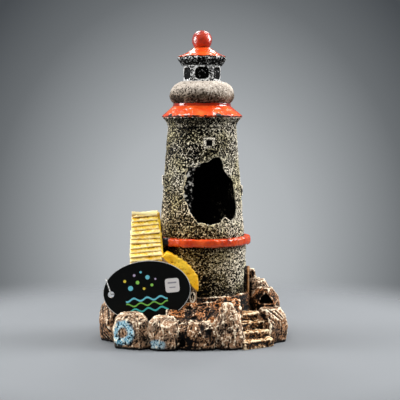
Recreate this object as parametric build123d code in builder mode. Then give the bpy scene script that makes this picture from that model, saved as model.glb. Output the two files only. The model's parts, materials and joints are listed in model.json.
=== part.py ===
from build123d import *
import os
from math import cos, pi, radians, sin, sqrt, tan

# A lighthouse ornament: a broken stone tower on a rocky mound, with a small thatched cottage,
# a lean-to, a flight of rough steps and an oval card tag held by a loop of thin cord.
# Millimetres, +Z up. The origin is the middle of the mound's footprint, on the floor.
# The front, where the broken opening and the steps are, looks towards -Y.

# Mound
base_width = 115.0
base_depth = 97.0
rim_height = 6.0
ground_height = 14.0
floor_inset = 4.5
ground_inset = 8.0
outline_points = 44
outline_lump = 0.045
outline_rib = 0.013
hollow_radius = 30.0

# Where the tower's axis stands from the middle of the footprint
tower_x = 5.0
tower_y = 2.5

# Tower, from the plinth to the broken shell
plinth_top_radius = 28.6
plinth_foot_radius = 32.5
plinth_height = 14.0
drum_radius = 27.2
drum_height = 30.3
drum_wall = 4.5
belt_radius = 30.4
belt_height = 4.7
belt_edge_round = 1.2
shell_foot_radius = 26.3
shell_top_radius = 21.1
shell_height = 68.0
shell_wall = 4.2

# Tower top
corbel_radius = 24.2
corbel_height = 5.5
corbel_plug = 3.0
corbel_curve_radius = 8.8
gallery_radius = 25.2
gallery_edge = 0.9
gallery_neck_radius = 17.8
gallery_slope_height = 7.2
gallery_height = 9.0
dome_foot_radius = 17.6
dome_radius = 20.0
dome_belly_height = 4.6
dome_top_radius = 11.8
dome_height = 13.2
lantern_radius = 11.4
lantern_height = 10.0
lantern_window_count = 6
lantern_window_width = 8.6
lantern_window_height = 7.6
lantern_window_corner = 2.6
lantern_window_depth = 1.5
eave_foot_radius = 12.3
eave_radius = 14.9
eave_height = 5.0
eave_lip = 1.2
eave_notch_count = 26
eave_notch_width = 0.8
eave_notch_depth = 0.7
cap_edge = 0.6
cap_height = 6.0
cap_top_radius = 5.3
cap_hollow = 0.6
finial_radius = 6.2
finial_seat_radius = 4.05

# Spigots that locate the stacked castings
spigot_radius = 5.0
finial_spigot_radius = 2.0
spigot_length = 3.0
fit_clearance = 0.15

# The broken opening: its outline on the tower's front, from the axis and the shell's foot
breach_outline = [
    (3.5, 46.4), (7.2, 49.4), (10.7, 49.9), (12.4, 46.6), (13.2, 41.4), (16.0, 37.7),
    (18.9, 34.4), (20.1, 26.3), (21.2, 17.8), (20.6, 13.2), (18.0, 9.9), (13.7, 13.0),
    (10.9, 9.6), (5.4, 8.2), (-2.5, 10.1), (-7.1, 15.5), (-11.2, 25.7), (-13.5, 30.3),
    (-12.0, 39.0), (-8.4, 44.1), (-3.9, 43.2), (-1.6, 45.6),
]
breach_face_depth = 20.5
breach_throat_depth = 19.3
breach_throat_share = 0.4

# Small tower windows and the door
window_width = 6.6
window_height = 6.2
window_border = 1.3
window_stand = 1.1
window_floor = 0.15
window_seat = 1.6
front_window_angle = 11.0
front_window_drop = 10.0
left_window_rise = 34.5
right_window_rise = 28.2
door_width = 11.0
door_height = 16.0
door_border = 1.9
door_stand = 2.6
door_seat = 2.0
door_leaf_stand = 0.7
door_angle = 84.0

# Cottage, placed from the tower's axis
cottage_left = -41.5
cottage_right = -24.0
cottage_front = -27.0
cottage_back = -9.0
ridge_height = 79.0
ridge_left = -41.3
ridge_right = -27.3
ridge_tilt = 1.8
roof_pitch = 71.0
roof_thickness = 2.6
roof_eave_height = 45.0
roof_eave_left = -43.6
roof_eave_right = -22.2
course_count = 12
course_lip = 0.8
cord_window_width = 5.0
cord_window_height = 7.0
cord_window_depth = 1.2
cord_window_rise = 22.0
cord_window_forward = 2.0

# Lean-to in front of the tower
leanto_left = -24.0
leanto_right = -3.4
leanto_front = -29.3
leanto_top_height = 59.0
leanto_pitch = 44.5
leanto_roof_thickness = 4.4
leanto_overhang = 1.0
leanto_crown = 3.6
leanto_course_count = 9
arch_window_width = 3.6
arch_window_height = 6.8
arch_window_border = 0.8
arch_window_stand = 0.7
arch_window_seat = 0.8
arch_window_inset = 2.4
arch_window_rise = 11.0

# Steps: the middle of the lowest edge, as shares of the base's half width and half depth
steps_x_share = 0.678
steps_y_share = -0.814
steps_turn = 32.0
step_width = 21.0
step_run = 5.0
step_rise = 4.5
landing_run = 10.0

# Card tag and its cord
tag_length = 52.5
tag_width = 36.4
tag_thickness = 0.6
tag_tilt = 5.5
tag_lean = 3.2
tag_middle_x = -33.1
tag_gap = 0.3
tag_room = 0.4
tag_hole_radius = 1.9
tag_hole_inset = 4.8
cord_diameter = 0.8
cord_off_card = 0.16
cord_past_edge = 1.2
cord_edge_angle = 106.0
cord_edge_reach = 8.4

# Rough slope between the front rocks and the plinth
path_left = -21.0
path_right = 23.0
path_front = -41.0
path_back = -26.0
path_front_height = 15.5
path_back_height = 28.0

# Rocks: place as shares of the base's half width and half depth, then length along X,
# width along Y, top height, turn and foot height
rocks = {
    "left_boulder": (-0.817, -0.206, 23.0, 35.0, 24.0, 8.0, 0.0),
    "ring_boulder": (-0.632, -0.765, 24.0, 16.0, 20.5, -28.0, 0.0),
    "front_boulder": (-0.303, -0.835, 20.0, 17.0, 19.0, -8.0, 0.0),
    "front_ledge": (0.0, -0.865, 29.0, 13.5, 15.5, 2.0, 0.0),
    "spur_rock": (0.341, -0.788, 20.5, 17.0, 26.5, 15.0, 0.0),
    "right_low_boulder": (0.809, -0.361, 21.5, 27.0, 20.0, -15.0, 0.0),
    "right_arch_rock": (0.791, -0.031, 20.0, 19.0, 30.5, 25.0, 0.0),
    "rear_right_boulder": (0.728, 0.299, 20.0, 24.0, 33.0, -30.0, 0.0),
    "rear_boulder": (0.19, 0.784, 46.0, 19.0, 23.0, -6.0, 0.0),
    "rear_left_boulder": (-0.502, 0.588, 38.0, 26.0, 22.0, 36.0, 0.0),
}
# Two stones piled against the drum: place out from the drum and back from the axis, then as above
stack_stones = {
    "stack_stone_low": (6.0, 2.0, 10.0, 10.0, 36.0, 10.0, 24.0),
    "stack_stone_high": (4.1, 3.0, 6.6, 6.6, 41.5, 35.0, 34.0),
}
rock_sides = 9
rock_lump = 0.1
rock_profile = ((0.0, 0.9), (0.24, 0.98), (0.52, 1.0), (0.84, 0.87), (1.0, 0.6))
spire_profile = ((0.0, 0.95), (0.3, 1.0), (0.66, 0.72), (1.0, 0.24))

# Flat faces broken off the rocks: compass turn, rise, and the share of the rock's reach that stays
rock_facets = {
    "left_boulder": ((215.0, 38.0, 0.80), (228.0, -24.0, 0.84), (268.0, 12.0, 0.88)),
    "ring_boulder": ((245.0, 5.0, 0.90), (293.0, 2.0, 0.86), (268.0, 52.0, 0.80)),
    "front_boulder": ((250.0, 6.0, 0.88), (300.0, 10.0, 0.86), (275.0, 50.0, 0.82)),
    "front_ledge": ((262.0, 44.0, 0.76), (285.0, 5.0, 0.92)),
    "spur_rock": ((200.0, 24.0, 0.82), (335.0, 18.0, 0.84), (268.0, 10.0, 0.86)),
    "right_low_boulder": ((232.0, 14.0, 0.82), (303.0, 34.0, 0.82), (350.0, 30.0, 0.88)),
    "right_arch_rock": ((235.0, 36.0, 0.86), (330.0, 28.0, 0.84), (20.0, 40.0, 0.86)),
    "rear_right_boulder": ((0.0, 35.0, 0.84), (60.0, 25.0, 0.84), (290.0, 40.0, 0.86)),
    "rear_boulder": ((75.0, 30.0, 0.82), (112.0, 8.0, 0.88), (20.0, 30.0, 0.84)),
    "rear_left_boulder": ((150.0, 35.0, 0.80), (190.0, 10.0, 0.86), (95.0, 12.0, 0.86)),
}
# Slanting grooves worn into some of these faces: the face's number, slant, count, spacing and depth
rock_grooves = {
    "left_boulder": ((0, -40.0, 6, 3.3, 0.9), (1, -46.0, 9, 2.9, 1.0)),
    "right_low_boulder": ((1, -52.0, 7, 3.1, 0.9), (2, -60.0, 6, 3.3, 0.9)),
    "rear_left_boulder": ((0, 35.0, 8, 3.4, 0.8),),
    "rear_boulder": ((0, -30.0, 8, 3.4, 0.8),),
}
groove_share = 0.8
groove_wander = 0.25

# Dark hollows in two of the rocks: mouth from the tower's axis and the floor, depth and outline
slot_mouth = ((-2.2, -2.6), (-1.6, 1.8), (0.2, 3.2), (1.7, 1.2), (2.3, -2.6))
arch_mouth = ((-4.8, -3.2), (-3.0, 0.6), (-0.3, 3.6), (3.4, 0.0), (4.8, -3.2))
caves = {
    "front_ledge": (-11.4, -53.0, 4.4, 8.0, slot_mouth),
    "right_arch_rock": (39.6, -14.0, 24.8, 9.0, arch_mouth),
}

# Heights of the stacked tower pieces
plinth_top = ground_height + plinth_height
drum_top = plinth_top + drum_height
belt_top = drum_top + belt_height
shell_top = belt_top + shell_height
corbel_top = shell_top + corbel_height
gallery_top = corbel_top + gallery_height
dome_top = gallery_top + dome_height
lantern_top = dome_top + lantern_height
eave_top = lantern_top + eave_height
cap_top = eave_top + cap_height
finial_middle = cap_top + sqrt(finial_radius**2 - finial_seat_radius**2)

# Round sizes that follow from the ones above
bore_radius = drum_radius - drum_wall
shell_slope = (shell_foot_radius - shell_top_radius) / shell_height
far = base_width + base_depth

tower_axis = Axis((tower_x, tower_y, 0), (0, 0, 1))
tower_section = Plane(origin=(tower_x, tower_y, 0), x_dir=(1, 0, 0), z_dir=(0, -1, 0))
made = {}


def at(x, y, z=0.0):
    # A point given from the tower's axis and the floor
    return (tower_x + x, tower_y + y, z)


def level(height):
    # A horizontal sketch plane centred on the tower's axis
    return Plane(origin=at(0, 0, height))


def keep(builder, label):
    # Labels a finished piece and notes it for export and for later cuts
    builder.part.label = label
    made[label] = builder.part
    return builder.part


def spin(points):
    # Turns a closed outline of (radius, height) points round the tower's axis
    with BuildSketch(tower_section) as outline:
        Polygon(*points, align=None)
    revolve(outline.sketch, axis=tower_axis)


def spigot(height, radius=spigot_radius):
    with BuildSketch(level(height)) as round_end:
        Circle(radius)
    extrude(round_end.sketch, amount=-spigot_length)


def socket(height, radius=spigot_radius):
    with BuildSketch(level(height)) as round_end:
        Circle(radius + fit_clearance)
    extrude(round_end.sketch, amount=-spigot_length - fit_clearance, mode=Mode.SUBTRACT)


def cut_away(*solids):
    # Removes the room that other pieces take up
    for solid in solids:
        add(solid, mode=Mode.SUBTRACT)


def keep_largest(builder):
    # Cutting can leave crumbs behind a neighbour, and only the main stone counts
    add(builder.part.solids().sort_by(SortBy.VOLUME)[-1], mode=Mode.REPLACE)


def lumpy_outline(length, width, count, lump, seed, rib=0.0):
    # A closed rough outline with exactly the given length and width, centred on zero
    turns = [2 * pi * k / count for k in range(count)]
    reach = [
        1 + lump * (sin(3 * t + seed) + 0.7 * sin(5 * t + 2.3 * seed) + 0.5 * sin(2 * t - seed))
        + rib * (sin(17 * t) + 0.6 * sin(11 * t + 1))
        for t in turns
    ]
    xs = [r * cos(t) for r, t in zip(reach, turns)]
    ys = [r * sin(t) for r, t in zip(reach, turns)]
    x_mid, x_span = (max(xs) + min(xs)) / 2, max(xs) - min(xs)
    y_mid, y_span = (max(ys) + min(ys)) / 2, max(ys) - min(ys)
    return [(length * (x - x_mid) / x_span, width * (y - y_mid) / y_span) for x, y in zip(xs, ys)]


def break_face(solid, centre, turn, rise, share):
    # A plane across a rock, at a share of how far the rock reaches that way from its centre
    heading, lift = radians(turn), radians(rise)
    out = Vector(cos(lift) * cos(heading), cos(lift) * sin(heading), sin(lift))
    reach = max((corner.center() - centre).dot(out) for corner in solid.vertices())
    return Plane(origin=centre + out * (share * reach), x_dir=(-sin(heading), cos(heading), 0), z_dir=out)


def wear_grooves(face, slant, count, spacing, depth):
    # Cuts a row of V grooves that run across a broken face at a slant
    along = face.x_dir * cos(radians(slant)) + face.y_dir * sin(radians(slant))
    with BuildSketch(Plane(origin=face.origin, x_dir=face.z_dir.cross(along), z_dir=along)) as teeth:
        for k in range(count):
            x = spacing * (k - (count - 1) / 2 + groove_wander * sin(2.3 * k))
            half = groove_share * spacing
            Polygon((x - half, depth), (x, -depth), (x + half, depth), align=None)
    extrude(teeth.sketch, amount=far / 4, both=True, mode=Mode.SUBTRACT)


# Solid outer form of the tower, used to cut whatever leans on it
with BuildPart() as tower_form:
    spin([
        (0, 0), (plinth_foot_radius, 0), (plinth_foot_radius, ground_height),
        (plinth_top_radius, plinth_top), (drum_radius, plinth_top), (drum_radius, drum_top),
        (belt_radius, drum_top), (belt_radius, belt_top), (shell_foot_radius, belt_top),
        (shell_top_radius, shell_top), (0, shell_top),
    ])

# Plinth, drum and belt
with BuildPart() as plinth:
    spin([
        (bore_radius, ground_height), (plinth_foot_radius, ground_height),
        (plinth_top_radius, plinth_top), (bore_radius, plinth_top),
    ])
keep(plinth, "tower_plinth")

door_plane = Plane(
    origin=at(drum_radius * sin(radians(door_angle)), -drum_radius * cos(radians(door_angle)), plinth_top),
    x_dir=(cos(radians(door_angle)), sin(radians(door_angle)), 0),
    z_dir=(sin(radians(door_angle)), -cos(radians(door_angle)), 0),
)


def door_arch(border):
    # Round-headed door outline standing on the plinth, drawn in by a border
    half = door_width / 2 - border
    spring = door_height - door_width / 2
    with BuildLine() as outline:
        Polyline((-half, spring), (-half, 0), (half, 0), (half, spring))
        RadiusArc((half, spring), (-half, spring), -half)
    make_face(outline.edges())


with BuildPart() as door_frame:
    with BuildSketch(door_plane.offset(-door_seat)):
        door_arch(0)
    extrude(amount=door_seat + door_stand)
    with BuildSketch(door_plane.offset(-door_seat)):
        door_arch(door_border)
    extrude(amount=door_seat + door_stand, mode=Mode.SUBTRACT)
keep(door_frame, "door_frame")

with BuildPart() as door_leaf:
    with BuildSketch(door_plane.offset(-door_seat)):
        door_arch(door_border)
    extrude(amount=door_seat + door_leaf_stand)
keep(door_leaf, "door_leaf")

with BuildPart() as drum:
    spin([
        (bore_radius, plinth_top), (drum_radius, plinth_top),
        (drum_radius, drum_top), (bore_radius, drum_top),
    ])
    cut_away(door_frame.part, door_leaf.part)
keep(drum, "tower_drum")

with BuildPart() as belt:
    spin([
        (bore_radius, drum_top), (belt_radius, drum_top),
        (belt_radius, belt_top), (bore_radius, belt_top),
    ])
    fillet(belt.edges().filter_by(GeomType.CIRCLE).group_by(SortBy.RADIUS)[-1], belt_edge_round)
keep(belt, "tower_belt")


# Tower windows: a raised square frame round a shallow blind pane
def shell_plane(angle, height):
    # Tangent plane on the shell; angle 0 looks to the front, 90 to the right
    radius = shell_foot_radius - shell_slope * (height - belt_top)
    across, along = sin(radians(angle)), -cos(radians(angle))
    return Plane(
        origin=at(radius * across, radius * along, height),
        x_dir=(-along, across, 0),
        z_dir=(across, along, 0),
    )


def make_window(label, angle, height):
    face = shell_plane(angle, height)
    with BuildPart() as frame:
        with BuildSketch(face.offset(-window_seat)):
            Rectangle(window_width, window_height)
        extrude(amount=window_seat + window_stand)
        with BuildSketch(face.offset(window_floor)):
            Rectangle(window_width - 2 * window_border, window_height - 2 * window_border)
        extrude(amount=window_stand, mode=Mode.SUBTRACT)
    return keep(frame, label)


tower_windows = [
    make_window("front_window", front_window_angle, shell_top - front_window_drop),
    make_window("left_window", -90, belt_top + left_window_rise),
    make_window("right_window", 90, belt_top + right_window_rise),
]

# Broken opening: straight from the front, then drawn in on its left to a narrower throat
throat_outline = [(x * breach_throat_share if x < 0 else x, z) for x, z in breach_outline]


def breach_plane(depth):
    # An upright plane that far in front of the axis, measured from the shell's foot
    return Plane(origin=at(0, -depth, belt_top), x_dir=(1, 0, 0), z_dir=(0, -1, 0))


with BuildPart() as breach:
    with BuildSketch(breach_plane(breach_face_depth)) as face_sketch:
        Polygon(*breach_outline, align=None)
    with BuildSketch(breach_plane(breach_throat_depth)) as throat_sketch:
        Polygon(*throat_outline, align=None)
    loft(ruled=True)
    extrude(face_sketch.sketch, amount=far)
    extrude(throat_sketch.sketch, amount=-breach_throat_depth)

with BuildPart() as shell:
    spin([
        (shell_foot_radius - shell_wall, belt_top), (shell_foot_radius, belt_top),
        (shell_top_radius, shell_top), (shell_top_radius - shell_wall, shell_top),
    ])
    cut_away(breach.part, *tower_windows)
keep(shell, "tower_shell")

# Gallery, dome and lantern, each with a spigot into the piece below
with BuildPart() as corbel:
    plug_radius = shell_top_radius - shell_wall - fit_clearance
    with BuildSketch(tower_section):
        with BuildLine():
            Polyline(
                (0, corbel_top), (0, shell_top - corbel_plug), (plug_radius, shell_top - corbel_plug),
                (plug_radius, shell_top), (shell_top_radius, shell_top),
            )
            RadiusArc((shell_top_radius, shell_top), (corbel_radius, corbel_top), corbel_curve_radius)
            Line((corbel_radius, corbel_top), (0, corbel_top))
        make_face()
    revolve(axis=tower_axis)
    socket(corbel_top)
keep(corbel, "gallery_corbel")

with BuildPart() as gallery:
    spin([
        (0, corbel_top), (gallery_radius - gallery_edge, corbel_top),
        (gallery_radius, corbel_top + gallery_edge),
        (gallery_neck_radius, corbel_top + gallery_slope_height),
        (gallery_neck_radius, gallery_top), (0, gallery_top),
    ])
    spigot(corbel_top)
    socket(gallery_top)
keep(gallery, "gallery_roof")

with BuildPart() as dome:
    belly = (dome_radius, gallery_top + dome_belly_height)
    with BuildSketch(tower_section):
        with BuildLine():
            Polyline(
                (dome_top_radius, dome_top), (0, dome_top),
                (0, gallery_top), (dome_foot_radius, gallery_top),
            )
            TangentArc((belly[0], belly[1]), (dome_foot_radius, gallery_top), tangent=(0, -1))
            TangentArc((belly[0], belly[1]), (dome_top_radius, dome_top), tangent=(0, 1))
        make_face()
    revolve(axis=tower_axis)
    spigot(gallery_top)
    socket(dome_top)
keep(dome, "dome")


def pane_plane(turn):
    # An upright plane on the lantern's face, turned round the axis from the front
    return Plane(
        origin=at(lantern_radius * sin(turn), -lantern_radius * cos(turn), (dome_top + lantern_top) / 2),
        x_dir=(cos(turn), sin(turn), 0),
        z_dir=(sin(turn), -cos(turn), 0),
    )


with BuildPart() as lantern:
    spin([(0, dome_top), (lantern_radius, dome_top), (lantern_radius, lantern_top), (0, lantern_top)])
    for k in range(lantern_window_count):
        with BuildSketch(pane_plane(2 * pi * k / lantern_window_count)):
            RectangleRounded(lantern_window_width, lantern_window_height, lantern_window_corner)
        extrude(amount=lantern_window_depth, both=True, mode=Mode.SUBTRACT)
    spigot(dome_top)
    socket(lantern_top)
keep(lantern, "lantern_room")

with BuildPart() as eave:
    spin([
        (0, lantern_top), (eave_foot_radius, lantern_top), (eave_radius, eave_top - eave_lip),
        (eave_radius, eave_top), (0, eave_top),
    ])
    with Locations(at(0, 0, (lantern_top + eave_top) / 2)):
        with PolarLocations(eave_radius, eave_notch_count):
            Box(2 * eave_notch_depth, eave_notch_width, 2 * eave_height, mode=Mode.SUBTRACT)
    spigot(lantern_top)
    socket(eave_top)
keep(eave, "lantern_eave")

with BuildPart() as cap:
    with BuildSketch(tower_section):
        with BuildLine():
            Polyline((cap_top_radius, cap_top), (0, cap_top), (0, eave_top), (eave_radius, eave_top),
                     (eave_radius, eave_top + cap_edge))
            SagittaArc((eave_radius, eave_top + cap_edge), (cap_top_radius, cap_top), cap_hollow)
        make_face()
    revolve(axis=tower_axis)
    spigot(eave_top)
    socket(cap_top, finial_spigot_radius)
keep(cap, "lantern_roof")

with BuildPart() as finial:
    with Locations(at(0, 0, finial_middle)):
        Sphere(finial_radius)
    split(bisect_by=level(cap_top), keep=Keep.TOP)
    spigot(cap_top, finial_spigot_radius)
keep(finial, "finial_ball")

# Cottage
ridge_y = (cottage_front + cottage_back) / 2
slope_run = cos(radians(roof_pitch))
slope_fall = sin(radians(roof_pitch))
ridge_under = ridge_height - roof_thickness / slope_run
roof_length = (ridge_under - roof_eave_height) / slope_fall
wall_top = ridge_under - (ridge_y - cottage_front) * tan(radians(roof_pitch))
end_plane = Plane(origin=at(cottage_left, 0, 0), x_dir=(0, 1, 0), z_dir=(1, 0, 0))
cord_window_y = ridge_y - cord_window_forward
cord_window_z = ground_height + cord_window_rise

with BuildPart() as cottage_walls:
    with BuildSketch(end_plane):
        Polygon(
            (cottage_front, ground_height), (cottage_back, ground_height), (cottage_back, wall_top),
            (ridge_y, ridge_under), (cottage_front, wall_top), align=None,
        )
    extrude(amount=cottage_right - cottage_left)
    with BuildSketch(end_plane):
        with Locations((cord_window_y, cord_window_z)):
            Rectangle(cord_window_width, cord_window_height)
    extrude(amount=cord_window_depth, mode=Mode.SUBTRACT)
    cut_away(tower_form.part)
    keep_largest(cottage_walls)
keep(cottage_walls, "cottage_walls")


def course_profile(length, count, thickness, lip, crown=0.0):
    # Side view of a thatched slab: (distance down the slope, height above its underside).
    # Its upper face bulges by crown at the middle of the slope.
    step = length / count
    swell = [crown * sin(pi * k / count) for k in range(count + 1)]
    points = [(0, 0), (length, 0)]
    for k in range(count, 0, -1):
        points += [(k * step, thickness + swell[k]), ((k - 1) * step, thickness - lip + swell[k - 1])]
    return points


slope_plane = Plane(
    origin=at(cottage_left, ridge_y, ridge_under),
    x_dir=(0, -slope_run, -slope_fall),
    z_dir=(-1, 0, 0),
)
gable_plane = Plane(origin=at(0, 0, 0), x_dir=(1, 0, 0), z_dir=(0, -1, 0))
crown = roof_thickness / tan(radians(90 - roof_pitch))

with BuildPart() as roof_slab:
    with BuildSketch(slope_plane):
        Polygon(*course_profile(roof_length, course_count, roof_thickness, course_lip), align=None)
        Polygon((-crown, 0), (0, 0), (0, roof_thickness), (-crown, roof_thickness), align=None)
    extrude(amount=far, both=True)
    with BuildSketch(gable_plane):
        Polygon(
            (roof_eave_left, roof_eave_height - roof_thickness),
            (roof_eave_right, roof_eave_height - roof_thickness),
            (ridge_right, ridge_height), (ridge_left, ridge_height - ridge_tilt), align=None,
        )
    extrude(amount=far, both=True, mode=Mode.INTERSECT)
    split(bisect_by=Plane(origin=at(0, ridge_y, 0), z_dir=(0, -1, 0)), keep=Keep.TOP)

with BuildPart() as roof_front:
    add(roof_slab.part)
    cut_away(tower_form.part)
    keep_largest(roof_front)
keep(roof_front, "cottage_roof_front")

with BuildPart() as roof_back:
    mirror(roof_slab.part, about=Plane(origin=at(0, ridge_y, 0), z_dir=(0, 1, 0)))
    cut_away(tower_form.part)
    keep_largest(roof_back)
keep(roof_back, "cottage_roof_back")

# Lean-to
lean_run = cos(radians(leanto_pitch))
lean_fall = sin(radians(leanto_pitch))
leanto_under = leanto_top_height - leanto_roof_thickness / lean_run
leanto_low = leanto_under - (leanto_right - leanto_left) * tan(radians(leanto_pitch))
leanto_slope = (leanto_right + leanto_overhang - leanto_left) / lean_run
cottage_pieces = [cottage_walls.part, roof_front.part, roof_back.part]
arch_plane = Plane(
    origin=at(leanto_right - arch_window_inset, leanto_front, ground_height + arch_window_rise),
    x_dir=(1, 0, 0),
    z_dir=(0, -1, 0),
)


def arch_outline(border):
    # Upright oval window outline standing on its lowest point
    with Locations((0, arch_window_height / 2)):
        Ellipse(arch_window_width / 2 - border, arch_window_height / 2 - border)


with BuildPart() as arch_window:
    with BuildSketch(arch_plane.offset(-arch_window_seat)):
        arch_outline(0)
    extrude(amount=arch_window_seat + arch_window_stand)
    with BuildSketch(arch_plane):
        arch_outline(arch_window_border)
    extrude(amount=arch_window_stand, mode=Mode.SUBTRACT)
    cut_away(tower_form.part)
keep(arch_window, "leanto_window")

with BuildPart() as leanto_walls:
    with BuildSketch(gable_plane.offset(-leanto_front)):
        Polygon(
            (leanto_left, ground_height), (leanto_right, ground_height),
            (leanto_right, leanto_low), (leanto_left, leanto_under), align=None,
        )
    extrude(amount=leanto_front)
    cut_away(tower_form.part, arch_window.part, *cottage_pieces)
    keep_largest(leanto_walls)
keep(leanto_walls, "leanto_walls")

leanto_slope_plane = Plane(
    origin=at(leanto_left, leanto_front - leanto_overhang, leanto_under),
    x_dir=(lean_run, 0, -lean_fall),
    z_dir=(0, -1, 0),
)
with BuildPart() as leanto_roof:
    with BuildSketch(leanto_slope_plane):
        Polygon(
            *course_profile(
                leanto_slope, leanto_course_count, leanto_roof_thickness, course_lip, leanto_crown
            ),
            align=None,
        )
    extrude(amount=leanto_front - leanto_overhang)
    split(bisect_by=Plane(origin=at(leanto_right + leanto_overhang, 0), z_dir=(-1, 0, 0)), keep=Keep.TOP)
    cut_away(tower_form.part, *cottage_pieces)
    keep_largest(leanto_roof)
keep(leanto_roof, "leanto_roof")

# Card tag: an oval standing on the ground, leaning back on the lean-to
tilt, lean = radians(tag_tilt), radians(tag_lean)
half_long, half_short = tag_length / 2, tag_width / 2
tag_half_height = sqrt((half_long * sin(tilt)) ** 2 + (half_short * cos(tilt)) ** 2) * cos(lean)
tag_middle_z = ground_height + tag_gap + tag_half_height
tag_top_y = leanto_front - leanto_overhang - tag_room - tag_thickness / 2
tag_top_z = tag_middle_z + tag_half_height
tag_plane = Plane(
    origin=at(tag_middle_x, tag_top_y - (tag_top_z - tag_middle_z) * tan(lean), tag_middle_z),
    x_dir=(cos(tilt), sin(tilt) * sin(lean), sin(tilt) * cos(lean)),
    z_dir=(0, -cos(lean), sin(lean)),
)
hole_offset = tag_hole_inset - half_long
hole_centre = tag_plane.from_local_coords((hole_offset, 0, 0))

with BuildPart() as tag:
    with BuildSketch(tag_plane.offset(-tag_thickness / 2)):
        Ellipse(half_long, half_short)
        with Locations((hole_offset, 0)):
            Circle(tag_hole_radius, mode=Mode.SUBTRACT)
    extrude(amount=tag_thickness)
keep(tag, "tag_card")

# Room that the tag takes up as it turns about its hole
with BuildPart() as tag_sweep:
    with BuildSketch(tag_plane.offset(-tag_thickness / 2 - tag_room)):
        with Locations((0, far / 2 - half_short - tag_room)):
            Rectangle(tag_length + 2 * tag_room, far)
    extrude(amount=tag_thickness + 2 * tag_room)

# Cord: out of the cottage's end window, over the card's edge, through its hole and back in
edge_turn = radians(cord_edge_angle) - tilt
cord_front = tag_thickness / 2 + cord_diameter / 2 + cord_off_card
cord_wrap = cord_edge_reach + cord_past_edge


def on_card(reach, depth):
    # A point from the hole towards where the cord leaves the card, and off the card's middle plane
    along, up = hole_offset + reach * cos(edge_turn), reach * sin(edge_turn)
    return tag_plane.from_local_coords((along, up, depth))


cord_wall = cottage_left + cord_window_depth
cord_points = [
    Vector(at(cord_wall, cord_window_y - 0.8, cord_window_z + 1.8)),
    Vector(at(cord_wall - 4.5, cord_window_y - 0.8, cord_window_z + 1.8)),
    Vector(at(cord_wall - 9.9, cord_window_y - 3.0, cord_window_z + 0.9)),
    on_card(cord_edge_reach - 1.0, -5.5),
    on_card(cord_wrap, -1.4),
    on_card(cord_wrap, cord_front),
    on_card(4.5, cord_front + 0.15),
    on_card(0.4, cord_front),
    on_card(0.0, -1.8),
    hole_centre + Vector(2.2, 5.6, -0.4),
    hole_centre + Vector(5.1, 9.3, 1.1),
    Vector(at(cord_wall - 5.0, cord_window_y + 0.6, cord_window_z - 2.4)),
    Vector(at(cord_wall, cord_window_y + 0.6, cord_window_z - 2.4)),
]
cord_runs = [b - a for a, b in zip(cord_points, cord_points[1:])]
cord_radii = [
    0.45 * min(a.length, b.length) / tan(radians(a.get_angle(b)) / 2)
    for a, b in zip(cord_runs, cord_runs[1:])
]
with BuildPart() as cord:
    with BuildLine() as route:
        FilletPolyline(*cord_points, radius=cord_radii)
    with BuildSketch(Plane(origin=cord_points[0], z_dir=cord_runs[0])):
        Circle(cord_diameter / 2)
    sweep(path=route.wires()[0])
keep(cord, "tag_cord")
cord_length = route.wires()[0].length
cord_area = pi * cord_diameter**2 / 4
print("cord radii", [round(r, 2) for r in cord_radii], "length", round(cord_length, 1))
print("cord runs", [round(run.length, 1) for run in cord_runs])
print("cord volume", round(cord.part.volume, 2), "expected", round(cord_length * cord_area, 2))
print("tag hole", [round(v, 3) for v in hole_centre], "normal", [round(v, 5) for v in tag_plane.z_dir])

# Steps: solid blocks, each one rise higher than the last
step_pieces = []
for k, label in enumerate(("step_bottom", "step_middle", "step_upper", "step_landing")):
    run = landing_run if label == "step_landing" else step_run
    steps_foot = (steps_x_share * base_width / 2, steps_y_share * base_depth / 2, 0)
    tread = Plane(origin=steps_foot).rotated((0, 0, steps_turn))
    with BuildPart() as step:
        with BuildSketch(tread):
            with Locations((0, k * step_run + run / 2)):
                Rectangle(step_width, run)
        extrude(amount=(k + 1) * step_rise)
        cut_away(tower_form.part)
        keep_largest(step)
    step_pieces.append(keep(step, label))

# Rocks: each is cut by the pieces before it, so neighbours meet face to face
fixed_pieces = [tower_form.part, tag_sweep.part, cord.part, door_frame.part, door_leaf.part]
fixed_pieces += [leanto_walls.part, leanto_roof.part, arch_window.part, *cottage_pieces, *step_pieces]
rock_places = {label: (x * base_width / 2, y * base_depth / 2) for label, (x, y, *_) in rocks.items()}
stack_places = {label: at(drum_radius + x, y)[:2] for label, (x, y, *_) in stack_stones.items()}
rock_places.update(stack_places)
placed = []
for seed, (label, middle) in enumerate(rock_places.items()):
    length, width, top, turn, foot = {**rocks, **stack_stones}[label][2:]
    profile = spire_profile if label == "spur_rock" else rock_profile
    with BuildPart() as rock:
        for share, girth in profile:
            with BuildSketch(Plane(origin=(*middle, foot + share * (top - foot))).rotated((0, 0, turn))):
                Polygon(
                    *lumpy_outline(girth * length, girth * width, rock_sides, rock_lump, seed + 1),
                    align=None,
                )
        loft(ruled=True)
        centre = Vector(*middle, (foot + top) / 2)
        faces = [break_face(rock.part, centre, *facet) for facet in rock_facets.get(label, ())]
        for face in faces:
            split(bisect_by=face, keep=Keep.BOTTOM)
        for number, *groove in rock_grooves.get(label, ()):
            wear_grooves(faces[number], *groove)
        if label in caves:
            cave_x, cave_y, cave_z, cave_depth, mouth = caves[label]
            with BuildSketch(Plane(origin=at(cave_x, cave_y, cave_z), x_dir=(1, 0, 0), z_dir=(0, -1, 0))):
                Polygon(*mouth, align=None)
            extrude(amount=-cave_depth, mode=Mode.SUBTRACT)
        cut_away(*fixed_pieces, *placed)
        keep_largest(rock)
    placed.append(keep(rock, label))

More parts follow.
